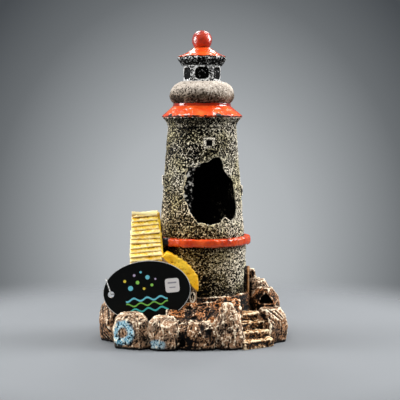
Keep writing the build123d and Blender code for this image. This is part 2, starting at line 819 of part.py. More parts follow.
with BuildPart() as path:
    with BuildSketch(Plane(origin=at(path_left, 0, 0), x_dir=(0, 1, 0), z_dir=(1, 0, 0))):
        Polygon(
            (path_front, ground_height), (path_back, ground_height),
            (path_back, path_back_height), (path_front, path_front_height), align=None,
        )
    extrude(amount=path_right - path_left)
    cut_away(*fixed_pieces, *placed)
    keep_largest(path)
keep(path, "front_path")

# Mound: a lumpy slab with a flat ground, hollow underneath as the casting is
with BuildPart() as mound:
    for height, inset in ((0, floor_inset), (rim_height, 0), (ground_height, ground_inset)):
        share = 1 - 2 * inset / base_width
        span = (share * base_width, share * base_depth)
        rim = lumpy_outline(*span, outline_points, outline_lump, 0, outline_rib)
        with BuildSketch(Plane.XY.offset(height)):
            Polygon(*rim, align=None)
    loft(ruled=True)
    with BuildSketch(tower_section):
        Polygon((0, 0), (hollow_radius, 0), (bore_radius, ground_height), (0, ground_height), align=None)
    revolve(axis=tower_axis, mode=Mode.SUBTRACT)
    cut_away(*step_pieces, *placed)
    keep_largest(mound)
keep(mound, "rock_mound")

os.makedirs("parts", exist_ok=True)
for label, part in made.items():
    export_step(part, f"parts/{label}.step")
print(len(made), "pieces")
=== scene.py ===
import json
import math
import bmesh
import bpy
from mathutils import Matrix, Vector


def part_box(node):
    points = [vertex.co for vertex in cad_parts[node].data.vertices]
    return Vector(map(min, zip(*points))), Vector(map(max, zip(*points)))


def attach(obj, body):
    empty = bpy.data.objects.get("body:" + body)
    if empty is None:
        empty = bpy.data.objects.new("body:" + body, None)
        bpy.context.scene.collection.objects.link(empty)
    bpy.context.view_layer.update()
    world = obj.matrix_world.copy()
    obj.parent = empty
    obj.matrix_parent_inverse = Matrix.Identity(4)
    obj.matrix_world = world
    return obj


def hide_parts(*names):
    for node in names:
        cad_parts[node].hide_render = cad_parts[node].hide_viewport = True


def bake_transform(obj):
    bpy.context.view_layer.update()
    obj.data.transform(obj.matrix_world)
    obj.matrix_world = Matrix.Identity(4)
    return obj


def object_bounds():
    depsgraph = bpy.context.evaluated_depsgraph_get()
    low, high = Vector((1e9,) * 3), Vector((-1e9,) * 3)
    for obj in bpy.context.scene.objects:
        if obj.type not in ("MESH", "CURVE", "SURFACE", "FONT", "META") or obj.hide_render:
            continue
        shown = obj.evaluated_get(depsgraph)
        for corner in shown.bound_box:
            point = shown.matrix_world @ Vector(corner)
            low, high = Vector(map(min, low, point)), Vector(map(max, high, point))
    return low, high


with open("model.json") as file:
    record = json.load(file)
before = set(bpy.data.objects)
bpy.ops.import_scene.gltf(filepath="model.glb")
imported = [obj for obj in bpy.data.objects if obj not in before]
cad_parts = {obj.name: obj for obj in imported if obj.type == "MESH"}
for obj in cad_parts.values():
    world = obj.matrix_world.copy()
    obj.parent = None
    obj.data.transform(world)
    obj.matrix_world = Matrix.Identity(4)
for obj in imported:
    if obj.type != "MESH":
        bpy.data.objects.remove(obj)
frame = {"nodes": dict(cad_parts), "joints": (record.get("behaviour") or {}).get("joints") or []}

for stray in ("Cube", "Light", "Camera"):      # what an untouched Blender file starts with
    if stray in bpy.data.objects:
        bpy.data.objects.remove(bpy.data.objects[stray])
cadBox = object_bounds()
mm = 0.001
weld = 1e-6                                    # metres within which two points of a solid are one
drumLow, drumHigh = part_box("tower_drum")
axisX = (drumLow.x + drumHigh.x) / 2           # the tower's upright axis
axisY = (drumLow.y + drumHigh.y) / 2
print("frame loaded:", len(frame["nodes"]), "nodes")


def hexToLinear(code):
    channels = [int(code[i:i + 2], 16) / 255 for i in (1, 3, 5)]
    linear = [c / 12.92 if c <= 0.04045 else ((c + 0.055) / 1.055) ** 2.4 for c in channels]
    return (*linear, 1.0)


def feed(tree, node, inputs):
    # an input takes a value, a hex colour, a socket, or a node, which stands for its first live output
    for socket, value in inputs.items():
        if isinstance(value, bpy.types.Node):
            value = next(output for output in value.outputs if output.enabled)
        if isinstance(value, bpy.types.NodeSocket):
            tree.links.new(value, node.inputs[socket])
        elif isinstance(value, str) and value.startswith("#"):
            node.inputs[socket].default_value = hexToLinear(value)
        else:
            node.inputs[socket].default_value = value


def addNode(tree, kind, inputs=None, **settings):
    # a kind without "Node" in its name is a shader node
    node = tree.nodes.new(kind if "Node" in kind else "ShaderNode" + kind)
    for name, value in settings.items():
        setattr(node, name, value)
    feed(tree, node, inputs or {})
    return node


def span(limits, unit=1.0, at=1):
    # two limits as inputs side by side: a Map Range node's From pair starts at 1, its To pair at 3
    low, high = limits
    return {at: low * unit, at + 1: high * unit}


def newMaterial(name):
    material = bpy.data.materials.new(name)
    material.use_nodes = True
    return material, material.node_tree, material.node_tree.nodes["Principled BSDF"]


def fillRamp(ramp, stops):
    elements = ramp.color_ramp.elements
    while len(elements) < len(stops):
        elements.new(0.5)
    for element, (position, colour) in zip(elements, stops):
        element.position = position
        element.color = colour


def addPiece(name, data):
    piece = bpy.data.objects.new(name, data)
    bpy.context.scene.collection.objects.link(piece)
    return piece


def pieceFrom(work, name):
    # a finished bmesh becomes a piece
    mesh = bpy.data.meshes.new(name)
    work.to_mesh(mesh)
    work.free()
    return addPiece(name, mesh)


def settle(piece):
    # the modifiers' result becomes the piece's plain mesh
    graph = bpy.context.evaluated_depsgraph_get()
    mesh = bpy.data.meshes.new_from_object(
        piece.evaluated_get(graph), preserve_all_data_layers=True, depsgraph=graph)
    piece.modifiers.clear()
    piece.data = mesh


# Camera, read from the photograph in its 400 by 400 frame
shot = {"framePixels": 400, "axisPixel": 202, "horizonPixel": 135, "focalPixels": 1040,
        "distanceMm": 650, "eyeHeightMm": 125.8, "sensorMm": 36}

middlePixel = shot["framePixels"] / 2
pitch = math.atan((middlePixel - shot["horizonPixel"]) / shot["focalPixels"])
aside = (shot["axisPixel"] - middlePixel) / shot["focalPixels"] * shot["distanceMm"] * mm
lens = bpy.data.cameras.new("photoLens")
lens.sensor_width = shot["sensorMm"]
lens.lens = shot["sensorMm"] * shot["focalPixels"] / shot["framePixels"]
camera = addPiece("photoCamera", lens)
camera.location = (axisX - aside, axisY - shot["distanceMm"] * mm, shot["eyeHeightMm"] * mm)
camera.rotation_euler = (math.pi / 2 - pitch, 0, 0)
bpy.context.scene.camera = camera
print("camera set")

# Thread of the tag: two-ply cotton from the cottage wall, through the card's hole and back to the wall
thread = {"diameterMm": 0.8, "lengthMm": 54.7, "sides": 12, "plyDepth": 0.16, "plyPitchMm": 2.6,
          "plyTurnDegrees": 45, "plyWave": 0.6, "plyBend": 0.4, "colours": ("#8f908e", "#dcdcd8"),
          "roughness": 0.9, "sheen": 0.3,
          "routeMm": [(-35.3, -18.3, 37.8), (-39.8, -18.3, 37.8), (-45.2, -20.5, 36.9),
                      (-51.491, -23.748, 37.304), (-52.6, -27.723, 39.645), (-52.5, -30.2, 39.6),
                      (-50.691, -30.55, 34.884), (-49.561, -30.55, 30.941), (-49.451, -27.839, 30.409),
                      (-47.251, -24.036, 30.109), (-44.351, -20.336, 31.609), (-40.3, -16.9, 33.6),
                      (-35.3, -16.9, 33.6)],
          "routeSteps": 10, "routeOrder": 3, "holdMm": (-39.5, -18.3, 37.0), "freeMm": (-51.5, -23.7, 37.0)}


def readSpline(routeMm):
    curve = bpy.data.curves.new("threadRoute", "CURVE")
    curve.dimensions = "3D"
    curve.resolution_u = thread["routeSteps"]
    spline = curve.splines.new("NURBS")
    spline.points.add(len(routeMm) - 1)
    for point, place in zip(spline.points, routeMm):
        point.co = (*[v * mm for v in place], 1)
    spline.order_u = thread["routeOrder"]
    spline.use_endpoint_u = True
    route = addPiece("threadRoute", curve)
    graph = bpy.context.evaluated_depsgraph_get()
    line = bpy.data.meshes.new_from_object(route.evaluated_get(graph))
    points = [v.co.copy() for v in line.vertices]
    bpy.data.objects.remove(route)
    bpy.data.meshes.remove(line)
    return points


def twistTube(name, points, spec):
    # a round tube whose section turns along the way, so the two plies show
    radius = spec["diameterMm"] * mm / 2
    work = bmesh.new()
    uvLayer = work.loops.layers.uv.new("threadUv")
    rings = []
    travel = [0.0]
    side = Vector((0, 0, 1))
    for i, point in enumerate(points):
        ahead = (points[min(i + 1, len(points) - 1)] - points[max(i - 1, 0)]).normalized()
        side = (side - ahead * side.dot(ahead)).normalized()
        across = ahead.cross(side)
        if i:
            travel.append(travel[-1] + (point - points[i - 1]).length)
        turn = math.tau * travel[i] / (spec["plyPitchMm"] * mm)
        ring = []
        for k in range(spec["sides"]):
            angle = math.tau * k / spec["sides"]
            reach = radius * (1 - spec["plyDepth"] * (0.5 - 0.5 * math.cos(2 * angle - turn)))
            ring.append(work.verts.new(point + (side * math.cos(angle) + across * math.sin(angle)) * reach))
        rings.append(ring)
    for i in range(len(rings) - 1):
        for k in range(spec["sides"]):
            after = (k + 1) % spec["sides"]
            face = work.faces.new((rings[i][k], rings[i][after], rings[i + 1][after], rings[i + 1][k]))
            face.smooth = True
            places = ((k, i), (k + 1, i), (k + 1, i + 1), (k, i + 1))
            for loop, (around, along) in zip(face.loops, places):
                loop[uvLayer].uv = (travel[along] / mm, around / spec["sides"])
    work.faces.new(reversed(rings[0]))
    work.faces.new(rings[-1])
    bmesh.ops.recalc_face_normals(work, faces=work.faces)
    return pieceFrom(work, name)


def cottonThread():
    # spun cotton: soft, no gloss, pale grey, with painted shade along the line between the plies
    material, tree, shader = newMaterial("cottonThread")
    uv = addNode(tree, "UVMap", uv_map="threadUv")
    stretch = addNode(tree, "Mapping", {
        "Vector": uv, "Scale": (1 / thread["plyPitchMm"], 1, 1),
        "Rotation": (0, 0, math.radians(thread["plyTurnDegrees"]))})
    ply = addNode(tree, "TexWave", {
        "Vector": stretch, "Scale": thread["plyWave"], "Distortion": thread["plyBend"]})
    dark, pale = thread["colours"]
    shade = addNode(tree, "Mix", {0: ply.outputs["Fac"], 6: dark, 7: pale}, data_type="RGBA")
    feed(tree, shader, {
        "Base Color": shade, "Roughness": thread["roughness"], "Sheen Weight": thread["sheen"]})
    return material


threadPoints = readSpline(thread["routeMm"])
tagThread = twistTube("tagThread", threadPoints, thread)
tagThread.data.materials.append(cottonThread())
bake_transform(tagThread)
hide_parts("tag_cord")
print("thread made:", len(threadPoints), "points")


# Relief of a resin casting: worm-like ridges, soft lumps, cracks and grooves, pushed out along the surface
reliefInputs = {"Ridge Size": 2.4, "Ridge Height": 0.0, "Lump Size": 8.0, "Lump Height": 0.0,
                "Crack Size": 10.0, "Crack Depth": 0.0, "Groove Size": 3.0, "Groove Height": 0.0,
                "Inset": 0.0, "Fine Span": 0.45, "Broad Span": 1.5}
# detail, bend and half width of the tracks, then lumps, cracks, and the rounds of blur for the surroundings
reliefForm = {"Ridge": (1.2, 0.5, 0.13), "Groove": (1.6, 0.7, 0.20), "trackFoot": -0.3, "lumpDetail": 3.0,
              "lumpRoughness": 0.55, "lumpFrom": (0.3, 0.7), "crackWidth": 0.16, "crackBendMm": 4.0,
              "rounds": {"Fine Span": 4, "Broad Span": 26}, "seedSteps": (0.037, 0.061, 0.043),
              "grooveStretch": (1.0, 1.0, 0.25)}


def newTree(name, sockets):
    # a tree with geometry in and out, and named inputs
    tree = bpy.data.node_groups.new(name, "GeometryNodeTree")
    for socketName, kind in {"Geometry": "Geometry", **sockets}.items():
        tree.interface.new_socket(socketName, in_out="INPUT", socket_type="NodeSocket" + kind)
    tree.interface.new_socket("Geometry", in_out="OUTPUT", socket_type="NodeSocketGeometry")
    return tree, addNode(tree, "NodeGroupInput").outputs


def buildReliefTree():
    tree, given = newTree("castRelief", {
        **dict.fromkeys(reliefInputs, "Float"), "Groove Turn": "Vector", "Groove Stretch": "Vector",
        "Seed Shift": "Vector", "Low Corner": "Vector", "High Corner": "Vector",
        "Warm": "Float", "Pale": "Float", "Dim": "Float", "Paint": "Material"})
    position = addNode(tree, "GeometryNodeInputPosition")
    normal = addNode(tree, "GeometryNodeInputNormal")
    shifted = addNode(tree, "VectorMath", {0: position, 1: given["Seed Shift"]})
    turned = addNode(tree, "VectorRotate", {"Vector": shifted, "Rotation": given["Groove Turn"]},
                     rotation_type="EULER_XYZ")
    drawn = addNode(tree, "VectorMath", {0: turned, 1: given["Groove Stretch"]}, operation="MULTIPLY")
    scales = {name: addNode(tree, "Math", {0: 1.0, 1: given[name + " Size"]}, operation="DIVIDE")
              for name in ("Ridge", "Groove", "Lump", "Crack")}
    layers = []
    # ridges run where a soft noise crosses its middle value, which gives worm tracks
    for place, name in ((shifted, "Ridge"), (drawn, "Groove")):
        detail, bend, width = reliefForm[name]
        cloud = addNode(tree, "TexNoise", {
            "Vector": place, "Scale": scales[name], "Detail": detail, "Distortion": bend})
        away = addNode(tree, "Math", {0: cloud, 1: 0.5}, operation="SUBTRACT")
        flat = addNode(tree, "Math", {0: away}, operation="ABSOLUTE")
        track = addNode(tree, "MapRange", {
            0: flat, 1: 0.0, 2: width, 3: 1.0, 4: reliefForm["trackFoot"]}, interpolation_type="SMOOTHSTEP")
        layers.append((track, given[name + " Height"]))
    lump = addNode(tree, "TexNoise", {
        "Vector": shifted, "Scale": scales["Lump"], "Detail": reliefForm["lumpDetail"],
        "Roughness": reliefForm["lumpRoughness"]})
    swell = addNode(tree, "MapRange", {0: lump, **span(reliefForm["lumpFrom"]), 3: -1.0, 4: 1.0})
    layers.append((swell, given["Lump Height"]))
    bend = [reliefForm["crackBendMm"] * mm] * 3
    wander = addNode(tree, "VectorMath", {0: lump.outputs["Color"], 1: bend, 2: shifted},
                     operation="MULTIPLY_ADD")
    cells = addNode(tree, "TexVoronoi", {"Vector": wander, "Scale": scales["Crack"]},
                    feature="DISTANCE_TO_EDGE")
    crack = addNode(tree, "MapRange", {
        0: cells, 1: 0.0, 2: reliefForm["crackWidth"], 3: -1.0, 4: 0.0}, interpolation_type="SMOOTHSTEP")
    layers.append((crack, given["Crack Depth"]))
    total = given["Inset"]
    for shape, height in layers:
        total = addNode(tree, "Math", {0: shape, 1: height, 2: total}, operation="MULTIPLY_ADD")
    push = addNode(tree, "VectorMath", {0: normal, 3: total}, operation="SCALE")
    pushed = addNode(tree, "GeometryNodeSetPosition", {0: given["Geometry"], 3: push})
    # nothing passes the corners given as inputs, which are the corners of the box round the whole frame
    above = addNode(tree, "VectorMath", {0: position, 1: given["Low Corner"]}, operation="MAXIMUM")
    within = addNode(tree, "VectorMath", {0: above, 1: given["High Corner"]}, operation="MINIMUM")
    shape = addNode(tree, "GeometryNodeSetPosition", {0: pushed, 2: within})
    # how far a point stands proud of its surroundings, close by and further out
    level = 0.5
    for name, rounds in reliefForm["rounds"].items():
        around = addNode(tree, "GeometryNodeBlurAttribute", {0: position, "Iterations": rounds},
                         data_type="FLOAT_VECTOR")
        stand = addNode(tree, "VectorMath", {0: position, 1: around}, operation="SUBTRACT")
        height = addNode(tree, "VectorMath", {0: stand, 1: normal}, operation="DOT_PRODUCT")
        share = addNode(tree, "Math", {0: height, 1: given[name]}, operation="DIVIDE")
        level = addNode(tree, "Math", {0: share, 1: 0.5, 2: level}, operation="MULTIPLY_ADD")
    marks = {"raised": level, "warm": given["Warm"], "pale": given["Pale"], "dim": given["Dim"]}
    for name, value in marks.items():
        shape = addNode(tree, "GeometryNodeStoreNamedAttribute", {"Name": name, 0: shape, "Value": value})
    smooth = addNode(tree, "GeometryNodeSetShadeSmooth", {0: shape})
    real = addNode(tree, "GeometryNodeRealizeInstances", {0: smooth})
    painted = addNode(tree, "GeometryNodeSetMaterial", {0: real, "Material": given["Paint"]})
    addNode(tree, "NodeGroupOutput", {0: painted})
    return tree


reliefTree = buildReliefTree()


def addTree(piece, name, tree, values):
    # a modifier's inputs are set by the sockets' identifiers
    modifier = piece.modifiers.new(name, "NODES")
    modifier.node_group = tree
    for item in tree.interface.items_tree:
        if item.item_type == "SOCKET" and item.in_out == "INPUT" and item.name in values:
            modifier[item.identifier] = values[item.name]


def addRelief(piece, cast, paint, seed):
    values = {name: cast.get(name, usual) * mm for name, usual in reliefInputs.items()}
    values["Groove Turn"] = [math.radians(v) for v in cast.get("grooveTurn", (0, 0, 0))]
    values["Groove Stretch"] = reliefForm["grooveStretch"]
    values["Seed Shift"] = [step * seed for step in reliefForm["seedSteps"]]
    values["Low Corner"], values["High Corner"] = [tuple(corner) for corner in cadBox]
    for name in ("Warm", "Pale", "Dim"):
        values[name] = cast.get(name.lower(), 0.0)
    values["Paint"] = paint
    addTree(piece, "relief", reliefTree, values)


def copySolid(nodeName, pieceName):
    mesh = frame["nodes"][nodeName].data.copy()
    work = bmesh.new()
    work.from_mesh(mesh)
    bmesh.ops.remove_doubles(work, verts=work.verts, dist=weld)
    work.to_mesh(mesh)
    work.free()
    mesh.materials.clear()
    return addPiece(pieceName, mesh)


def addVoxels(piece, sizeMm):
    voxels = piece.modifiers.new("voxels", "REMESH")
    voxels.mode = "VOXEL"
    voxels.voxel_size = sizeMm * mm


def seat(piece, nodeName):
    settle(piece)
    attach(piece, "ornament")
    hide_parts(nodeName)


def castPiece(nodeName, cast, paint, seed):
    piece = copySolid(nodeName, nodeName + "Cast")
    addVoxels(piece, cast["voxel"])
    addRelief(piece, cast, paint, seed)
    seat(piece, nodeName)


# Paint of a casting: dark undercoat in the hollows, thin washes, a nearly dry pale brush on what stands proud
castPaint = {"washFrom": (0.42, 0.60), "trackWidth": 0.14, "ior": 1.5, "bump": 0.5, "bumpShare": 0.2,
             "noises": {"patch": (3.0, 0.0), "grit": (2.0, 0.0), "track": (1.0, 0.6)}}


def addWearAndLight(job, lift, share=1.0):
    # moves the wear and the painted light and shade laid on it, which together decide between undercoat, wash
    # and brush
    job["worn"] = addNode(job["tree"], "Math", {0: lift, 1: share, 2: job["worn"]}, operation="MULTIPLY_ADD")


def startPaint(name, paint):
    material, tree, shader = newMaterial(name)
    coords = addNode(tree, "TexCoord").outputs
    place = coords["Object"]
    raised, dim = [addNode(tree, "Attribute", attribute_name=key).outputs["Fac"]
                   for key in ("raised", "dim")]
    noise = {key: addNode(tree, "TexNoise", {
        "Vector": place, "Scale": 1 / (paint[key + "Mm"] * mm), "Detail": detail, "Distortion": bend})
        for key, (detail, bend) in castPaint["noises"].items()}
    washMask = addNode(tree, "MapRange", {0: noise["patch"], **span(castPaint["washFrom"])})
    dark, light = paint["wash"]
    body = addNode(tree, "Mix", {0: washMask, 6: dark, 7: light}, data_type="RGBA")
    # fine tracks too small for the mesh, drawn where a noise crosses its middle value
    away = addNode(tree, "Math", {0: noise["track"], 1: 0.5}, operation="SUBTRACT")
    flat = addNode(tree, "Math", {0: away}, operation="ABSOLUTE")
    track = addNode(tree, "MapRange", {0: flat, 1: 0.0, 2: castPaint["trackWidth"], 3: 0.5, 4: -0.5})
    share = paint["raisedShare"]
    stand = addNode(tree, "Math", {0: raised, 1: share, 2: 0.5 - 0.5 * share}, operation="MULTIPLY_ADD")
    worn = addNode(tree, "Math", {0: stand, 1: dim}, operation="SUBTRACT")
    job = {"material": material, "tree": tree, "shader": shader, "place": place, "normal": coords["Normal"],
           "raised": raised, "worn": worn, "patch": noise["patch"], "track": track, "body": body}
    # tracks, grit and patches make the wear uneven
    for key, level in (("track", track), ("grit", noise["grit"]), ("patch", noise["patch"])):
        lowered = addNode(tree, "Math", {0: level, 1: 0.5}, operation="SUBTRACT")
        addWearAndLight(job, lowered, paint[key + "Share"])
    bump = addNode(tree, "Bump", {
        "Height": noise["grit"], "Strength": castPaint["bump"],
        "Distance": paint["gritMm"] * mm * castPaint["bumpShare"]})
    feed(tree, shader, {"Roughness": paint["roughness"], "IOR": castPaint["ior"],
                        "Specular IOR Level": paint["gloss"], "Normal": bump})
    return job


def washAndBrush(job, paint, body):
    # hollows go to the undercoat, ridges to the dry brush
    tree = job["tree"]
    hollow = addNode(tree, "MapRange", {0: job["worn"], **span(paint["hollow"])})
    under = addNode(tree, "Mix", {0: hollow, 6: paint["undercoat"], 7: body}, data_type="RGBA")
    proud = addNode(tree, "MapRange", {0: job["worn"], **span(paint["brushFrom"]), 4: paint["brushShare"]})
    return addNode(tree, "Mix", {0: proud, 6: under, 7: paint["brush"]}, data_type="RGBA")


def endPaint(job, colour):
    feed(job["tree"], job["shader"], {"Base Color": colour})
    return job["material"]


def plainResin(name, paint):
    job = startPaint(name, paint)
    return endPaint(job, washAndBrush(job, paint, job["body"]))


def axisDistance(tree, place):
    # metres from the tower's upright axis, and the height
    centred = addNode(tree, "Mapping", {"Vector": place, "Location": (-axisX, -axisY, 0)})
    x, y, height = addNode(tree, "SeparateXYZ", {0: centred}).outputs
    flat = addNode(tree, "CombineXYZ", {0: x, 1: y})
    return addNode(tree, "VectorMath", {0: flat}, operation="LENGTH"), height


def spotDistance(tree, place, spotMm):
    # metres from a spot
    spot = [v * mm for v in spotMm]
    return addNode(tree, "VectorMath", {0: place, 1: spot}, operation="DISTANCE")


def liftAlong(job, source, unit, lifts):
    # adds to the wear, with its painted light and shade, what a list of places and lifts gives, straight
    # between them; a ramp holds nothing below zero, so the lifts go in half a unit up
    tree = job["tree"]
    first, last = lifts[0][0], lifts[-1][0]
    along = addNode(tree, "MapRange", {0: source, 1: first * unit, 2: last * unit})
    ramp = addNode(tree, "ValToRGB", {0: along})
    fillRamp(ramp, [((at - first) / (last - first), (*[lift + 0.5] * 3, 1.0)) for at, lift in lifts])
    addWearAndLight(job, addNode(tree, "Math", {0: ramp, 1: 0.5}, operation="SUBTRACT"))


def liftFlanks(job, paint):
    # the wear and the painted light differ across the tower from its left flank, at -1, to its right flank,
    # at 1
    tree = job["tree"]
    half = paint["flankMm"] * mm
    across = addNode(tree, "SeparateXYZ", {0: job["place"]}).outputs["X"]
    flank = addNode(tree, "MapRange", {0: across, 1: axisX - half, 2: axisX + half, 3: -1.0, 4: 1.0})
    liftAlong(job, flank, 1.0, paint["flankLift"])


# Tower wall: roughcast resin, black in its hollows, with cream and olive ridges
wallPaint = {"undercoat": "#020202", "wash": ("#645a43", "#7d7562"), "brush": "#f3ebd9", "patchMm": 11,
             "gritMm": 0.8, "gritShare": 0.3, "trackMm": 1.5, "trackShare": 0.72, "patchShare": 0.6,
             "raisedShare": 0.6, "roughness": 0.7, "gloss": 0.08, "hollow": (0.24, 0.42),
             "brushFrom": (0.41, 0.68), "brushShare": 0.95,
             "olive": "#86692b", "oliveMm": (-12, -24, 52), "oliveReach": (13, 46), "oliveShare": 0.85,
             "glaze": "#d3b866", "glazeShare": 0.8, "tintMm": 16, "tintFrom": (0.42, 0.62), "tint": "#e2dfc6",
             "cornerMm": (-15.5, -17.5, 54.0), "cornerReach": (3.5, 10.0), "cornerShadeLift": -0.3, "flankMm": 20,
             "flankLift": [(-1.0, 0.05), (-0.5, 0.04), (0.1, -0.03), (0.5, 0.11), (1.0, 0.2)],
             "levelLift": [(28, -0.30), (35, -0.08), (42, 0.07), (56, 0.07), (58, -0.14), (63, -0.14),
                           (66, 0.05), (95, 0.01), (118, -0.06), (127, -0.03), (129.3, -0.06),
                           (130.4, -0.25), (131.2, -0.10), (132.5, 0.0), (136, -0.04)]}
shellLow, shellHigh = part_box("tower_shell")
# outer radii, the broken opening, and the depths over which its edge turns cream, then dark, then black
shellForm = {"footMm": 26.3, "topMm": 21.1, "breachMm": (2.0, 2.5, 97.0), "breachHalfMm": (17.0, 33.0),
             "lipFrom": (0.72, 1.0), "lipLift": 0.7, "rimMm": (0.6, 0.75), "rimShare": 0.9, "rim": "#e6d8b4",
             "brokenMm": (1.05, 1.2), "broken": ("#040404", "#d6d2c8"), "fleckMm": 2.0,
             "fleckFrom": (0.55, 0.63), "fleckShare": 0.85, "insideMm": (3.3, 4.0), "inside": "#050505"}


def shellDepth(job):
    # metres below the shell's outer cone, and the height
    reach, height = axisDistance(job["tree"], job["place"])
    outer = addNode(job["tree"], "MapRange", {
        0: height, 1: shellLow.z, 2: shellHigh.z, 3: shellForm["footMm"] * mm, 4: shellForm["topMm"] * mm})
    return addNode(job["tree"], "Math", {0: outer, 1: reach}, operation="SUBTRACT"), height


def roughcastResin():
    job = startPaint("roughcastResin", wallPaint)
    tree = job["tree"]
    place = job["place"]
    # the flanks are painted paler than the front, the right one most: dry brush and painted light from the
    # side lamps; rings of painted shade darken the foot, the wall beside the belt and the wall under the
    # gallery
    liftFlanks(job, wallPaint)
    deep, height = shellDepth(job)
    liftAlong(job, height, mm, wallPaint["levelLift"])
    # painted shade in the corner between the cottage and the tower
    fromCorner = spotDistance(tree, place, wallPaint["cornerMm"])
    addWearAndLight(job, addNode(tree, "MapRange", {
        0: fromCorner, **span(wallPaint["cornerReach"], mm), 3: wallPaint["cornerShadeLift"], 4: 0.0}))
    # the lip of the broken opening caught the brush most
    back = [-v * mm for v in shellForm["breachMm"]]
    fromBreach = addNode(tree, "VectorMath", {0: place, 1: back})
    wide, high = [1 / (v * mm) for v in shellForm["breachHalfMm"]]
    shares = addNode(tree, "VectorMath", {0: fromBreach, 1: (wide, 0, high)}, operation="MULTIPLY")
    away = addNode(tree, "VectorMath", {0: shares}, operation="LENGTH")
    around = addNode(tree, "Math", {0: away, 1: 1.0}, operation="LESS_THAN")
    behind = addNode(tree, "SeparateXYZ", {0: fromBreach}).outputs["Y"]
    ahead = addNode(tree, "Math", {0: behind, 1: 0.0}, operation="LESS_THAN")
    atBreach = addNode(tree, "Math", {0: around, 1: ahead}, operation="MULTIPLY")
    lip = addNode(tree, "MapRange", {
        0: job["raised"], **span(shellForm["lipFrom"]), 4: shellForm["lipLift"]})
    addWearAndLight(job, lip, atBreach)
    # an olive wash where the cottage leans on the tower
    fromCottage = spotDistance(tree, place, wallPaint["oliveMm"])
    near = addNode(tree, "MapRange", {
        0: fromCottage, **span(wallPaint["oliveReach"], mm), 3: wallPaint["oliveShare"], 4: 0.0})
    washed = addNode(tree, "Mix", {0: near, 6: job["body"], 7: wallPaint["olive"]}, data_type="RGBA")
    colour = washAndBrush(job, wallPaint, washed)
    glazed = addNode(tree, "Math", {0: near, 1: wallPaint["glazeShare"]}, operation="MULTIPLY")
    # the brush paint was mixed unevenly, cream in some places and olive in others
    cloud = addNode(tree, "TexNoise", {"Vector": place, "Scale": 1 / (wallPaint["tintMm"] * mm)})
    drift = addNode(tree, "MapRange", {0: cloud, **span(wallPaint["tintFrom"])})
    for share, shade in ((glazed, wallPaint["glaze"]), (drift, wallPaint["tint"])):
        colour = addNode(tree, "Mix", {0: share, 6: colour, 7: shade},
                         data_type="RGBA", blend_type="MULTIPLY")
    # the broken edge: a cream rim, a dark face with pale flecks, and black inside the tower
    onShell = addNode(tree, "Math", {0: height, 1: shellLow.z}, operation="GREATER_THAN")
    flecks = addNode(tree, "TexNoise", {"Vector": place, "Scale": 1 / (shellForm["fleckMm"] * mm)})
    speck = addNode(tree, "MapRange", {
        0: flecks, **span(shellForm["fleckFrom"]), 4: shellForm["fleckShare"]})
    dark, pale = shellForm["broken"]
    face = addNode(tree, "Mix", {0: speck, 6: dark, 7: pale}, data_type="RGBA")
    for depths, share, shade, zone in (
            (shellForm["rimMm"], shellForm["rimShare"], shellForm["rim"], atBreach),
            (shellForm["brokenMm"], 1.0, face, atBreach),
            (shellForm["insideMm"], 1.0, shellForm["inside"], onShell)):
        inside = addNode(tree, "MapRange", {0: deep, **span(depths, mm), 4: share})
        mask = addNode(tree, "Math", {0: inside, 1: zone}, operation="MULTIPLY")
        colour = addNode(tree, "Mix", {0: mask, 6: colour, 7: shade}, data_type="RGBA")
    return endPaint(job, colour)


roughcast = roughcastResin()
wallCast = {"voxel": 0.5, "Inset": -0.2, "Ridge Size": 2.1, "Ridge Height": 0.5, "Lump Size": 9,
            "Lump Height": 0.35}
castPiece("tower_shell", wallCast, roughcast, 1)
castPiece("tower_drum", wallCast, roughcast, 2)
corbelCast = {"voxel": 0.45, "Ridge Size": 2.2, "Ridge Height": 0.25, "Lump Size": 7, "Lump Height": 0.15,
              "Fine Span": 0.3, "Broad Span": 1.2}
castPiece("gallery_corbel", corbelCast, roughcast, 3)
frameCast = {"voxel": 0.3, "Ridge Size": 2.4, "Ridge Height": 0.12, "Lump Size": 3, "Lump Height": 0.15,
             "Fine Span": 0.25, "Broad Span": 0.8}
# Window frames: the same resin, brushed cream around a black pane
windowPaint = dict(wallPaint, trackShare=0.55, raisedShare=0.9, gritShare=0.8, patchShare=0.5,
                   paneMm=(-0.75, -0.5), pane="#060606")
windowDims = {"front_window": -0.06, "left_window": 0.02, "right_window": 0.04}


def windowResin():
    job = startPaint("windowResin", windowPaint)
    deep = shellDepth(job)[0]
    pane = addNode(job["tree"], "MapRange", {0: deep, **span(windowPaint["paneMm"], mm)})
    colour = washAndBrush(job, windowPaint, job["body"])
    return endPaint(job, addNode(job["tree"], "Mix", {0: pane, 6: colour, 7: windowPaint["pane"]},
                                 data_type="RGBA"))


framed = windowResin()
for seed, (nodeName, dim) in enumerate(windowDims.items(), 4):
    castPiece(nodeName, dict(frameCast, dim=dim), framed, seed)
print("tower wall cast")

# Dome: the same resin, paler on its upper half: dry brush and painted light from above
domePaint = dict(wallPaint, wash=("#5a4d3f", "#7d6d5c"), brush="#cfc6ba", patchMm=8, patchShare=0.5,
                 undercoat="#1d1610", hollow=(0.16, 0.40), trackShare=0.26, gritShare=0.36,
                 brushFrom=(0.48, 0.86), riseFrom=0.35, riseLift=(-0.12, 0.16), mottleShare=0.9,
                 paleFrom=(0.55, 1.1), pale="#a99e92", flankMm=17,
                 flankLift=[(-1.0, -0.12), (-0.3, -0.06), (0.3, 0.08), (1.0, 0.06)])


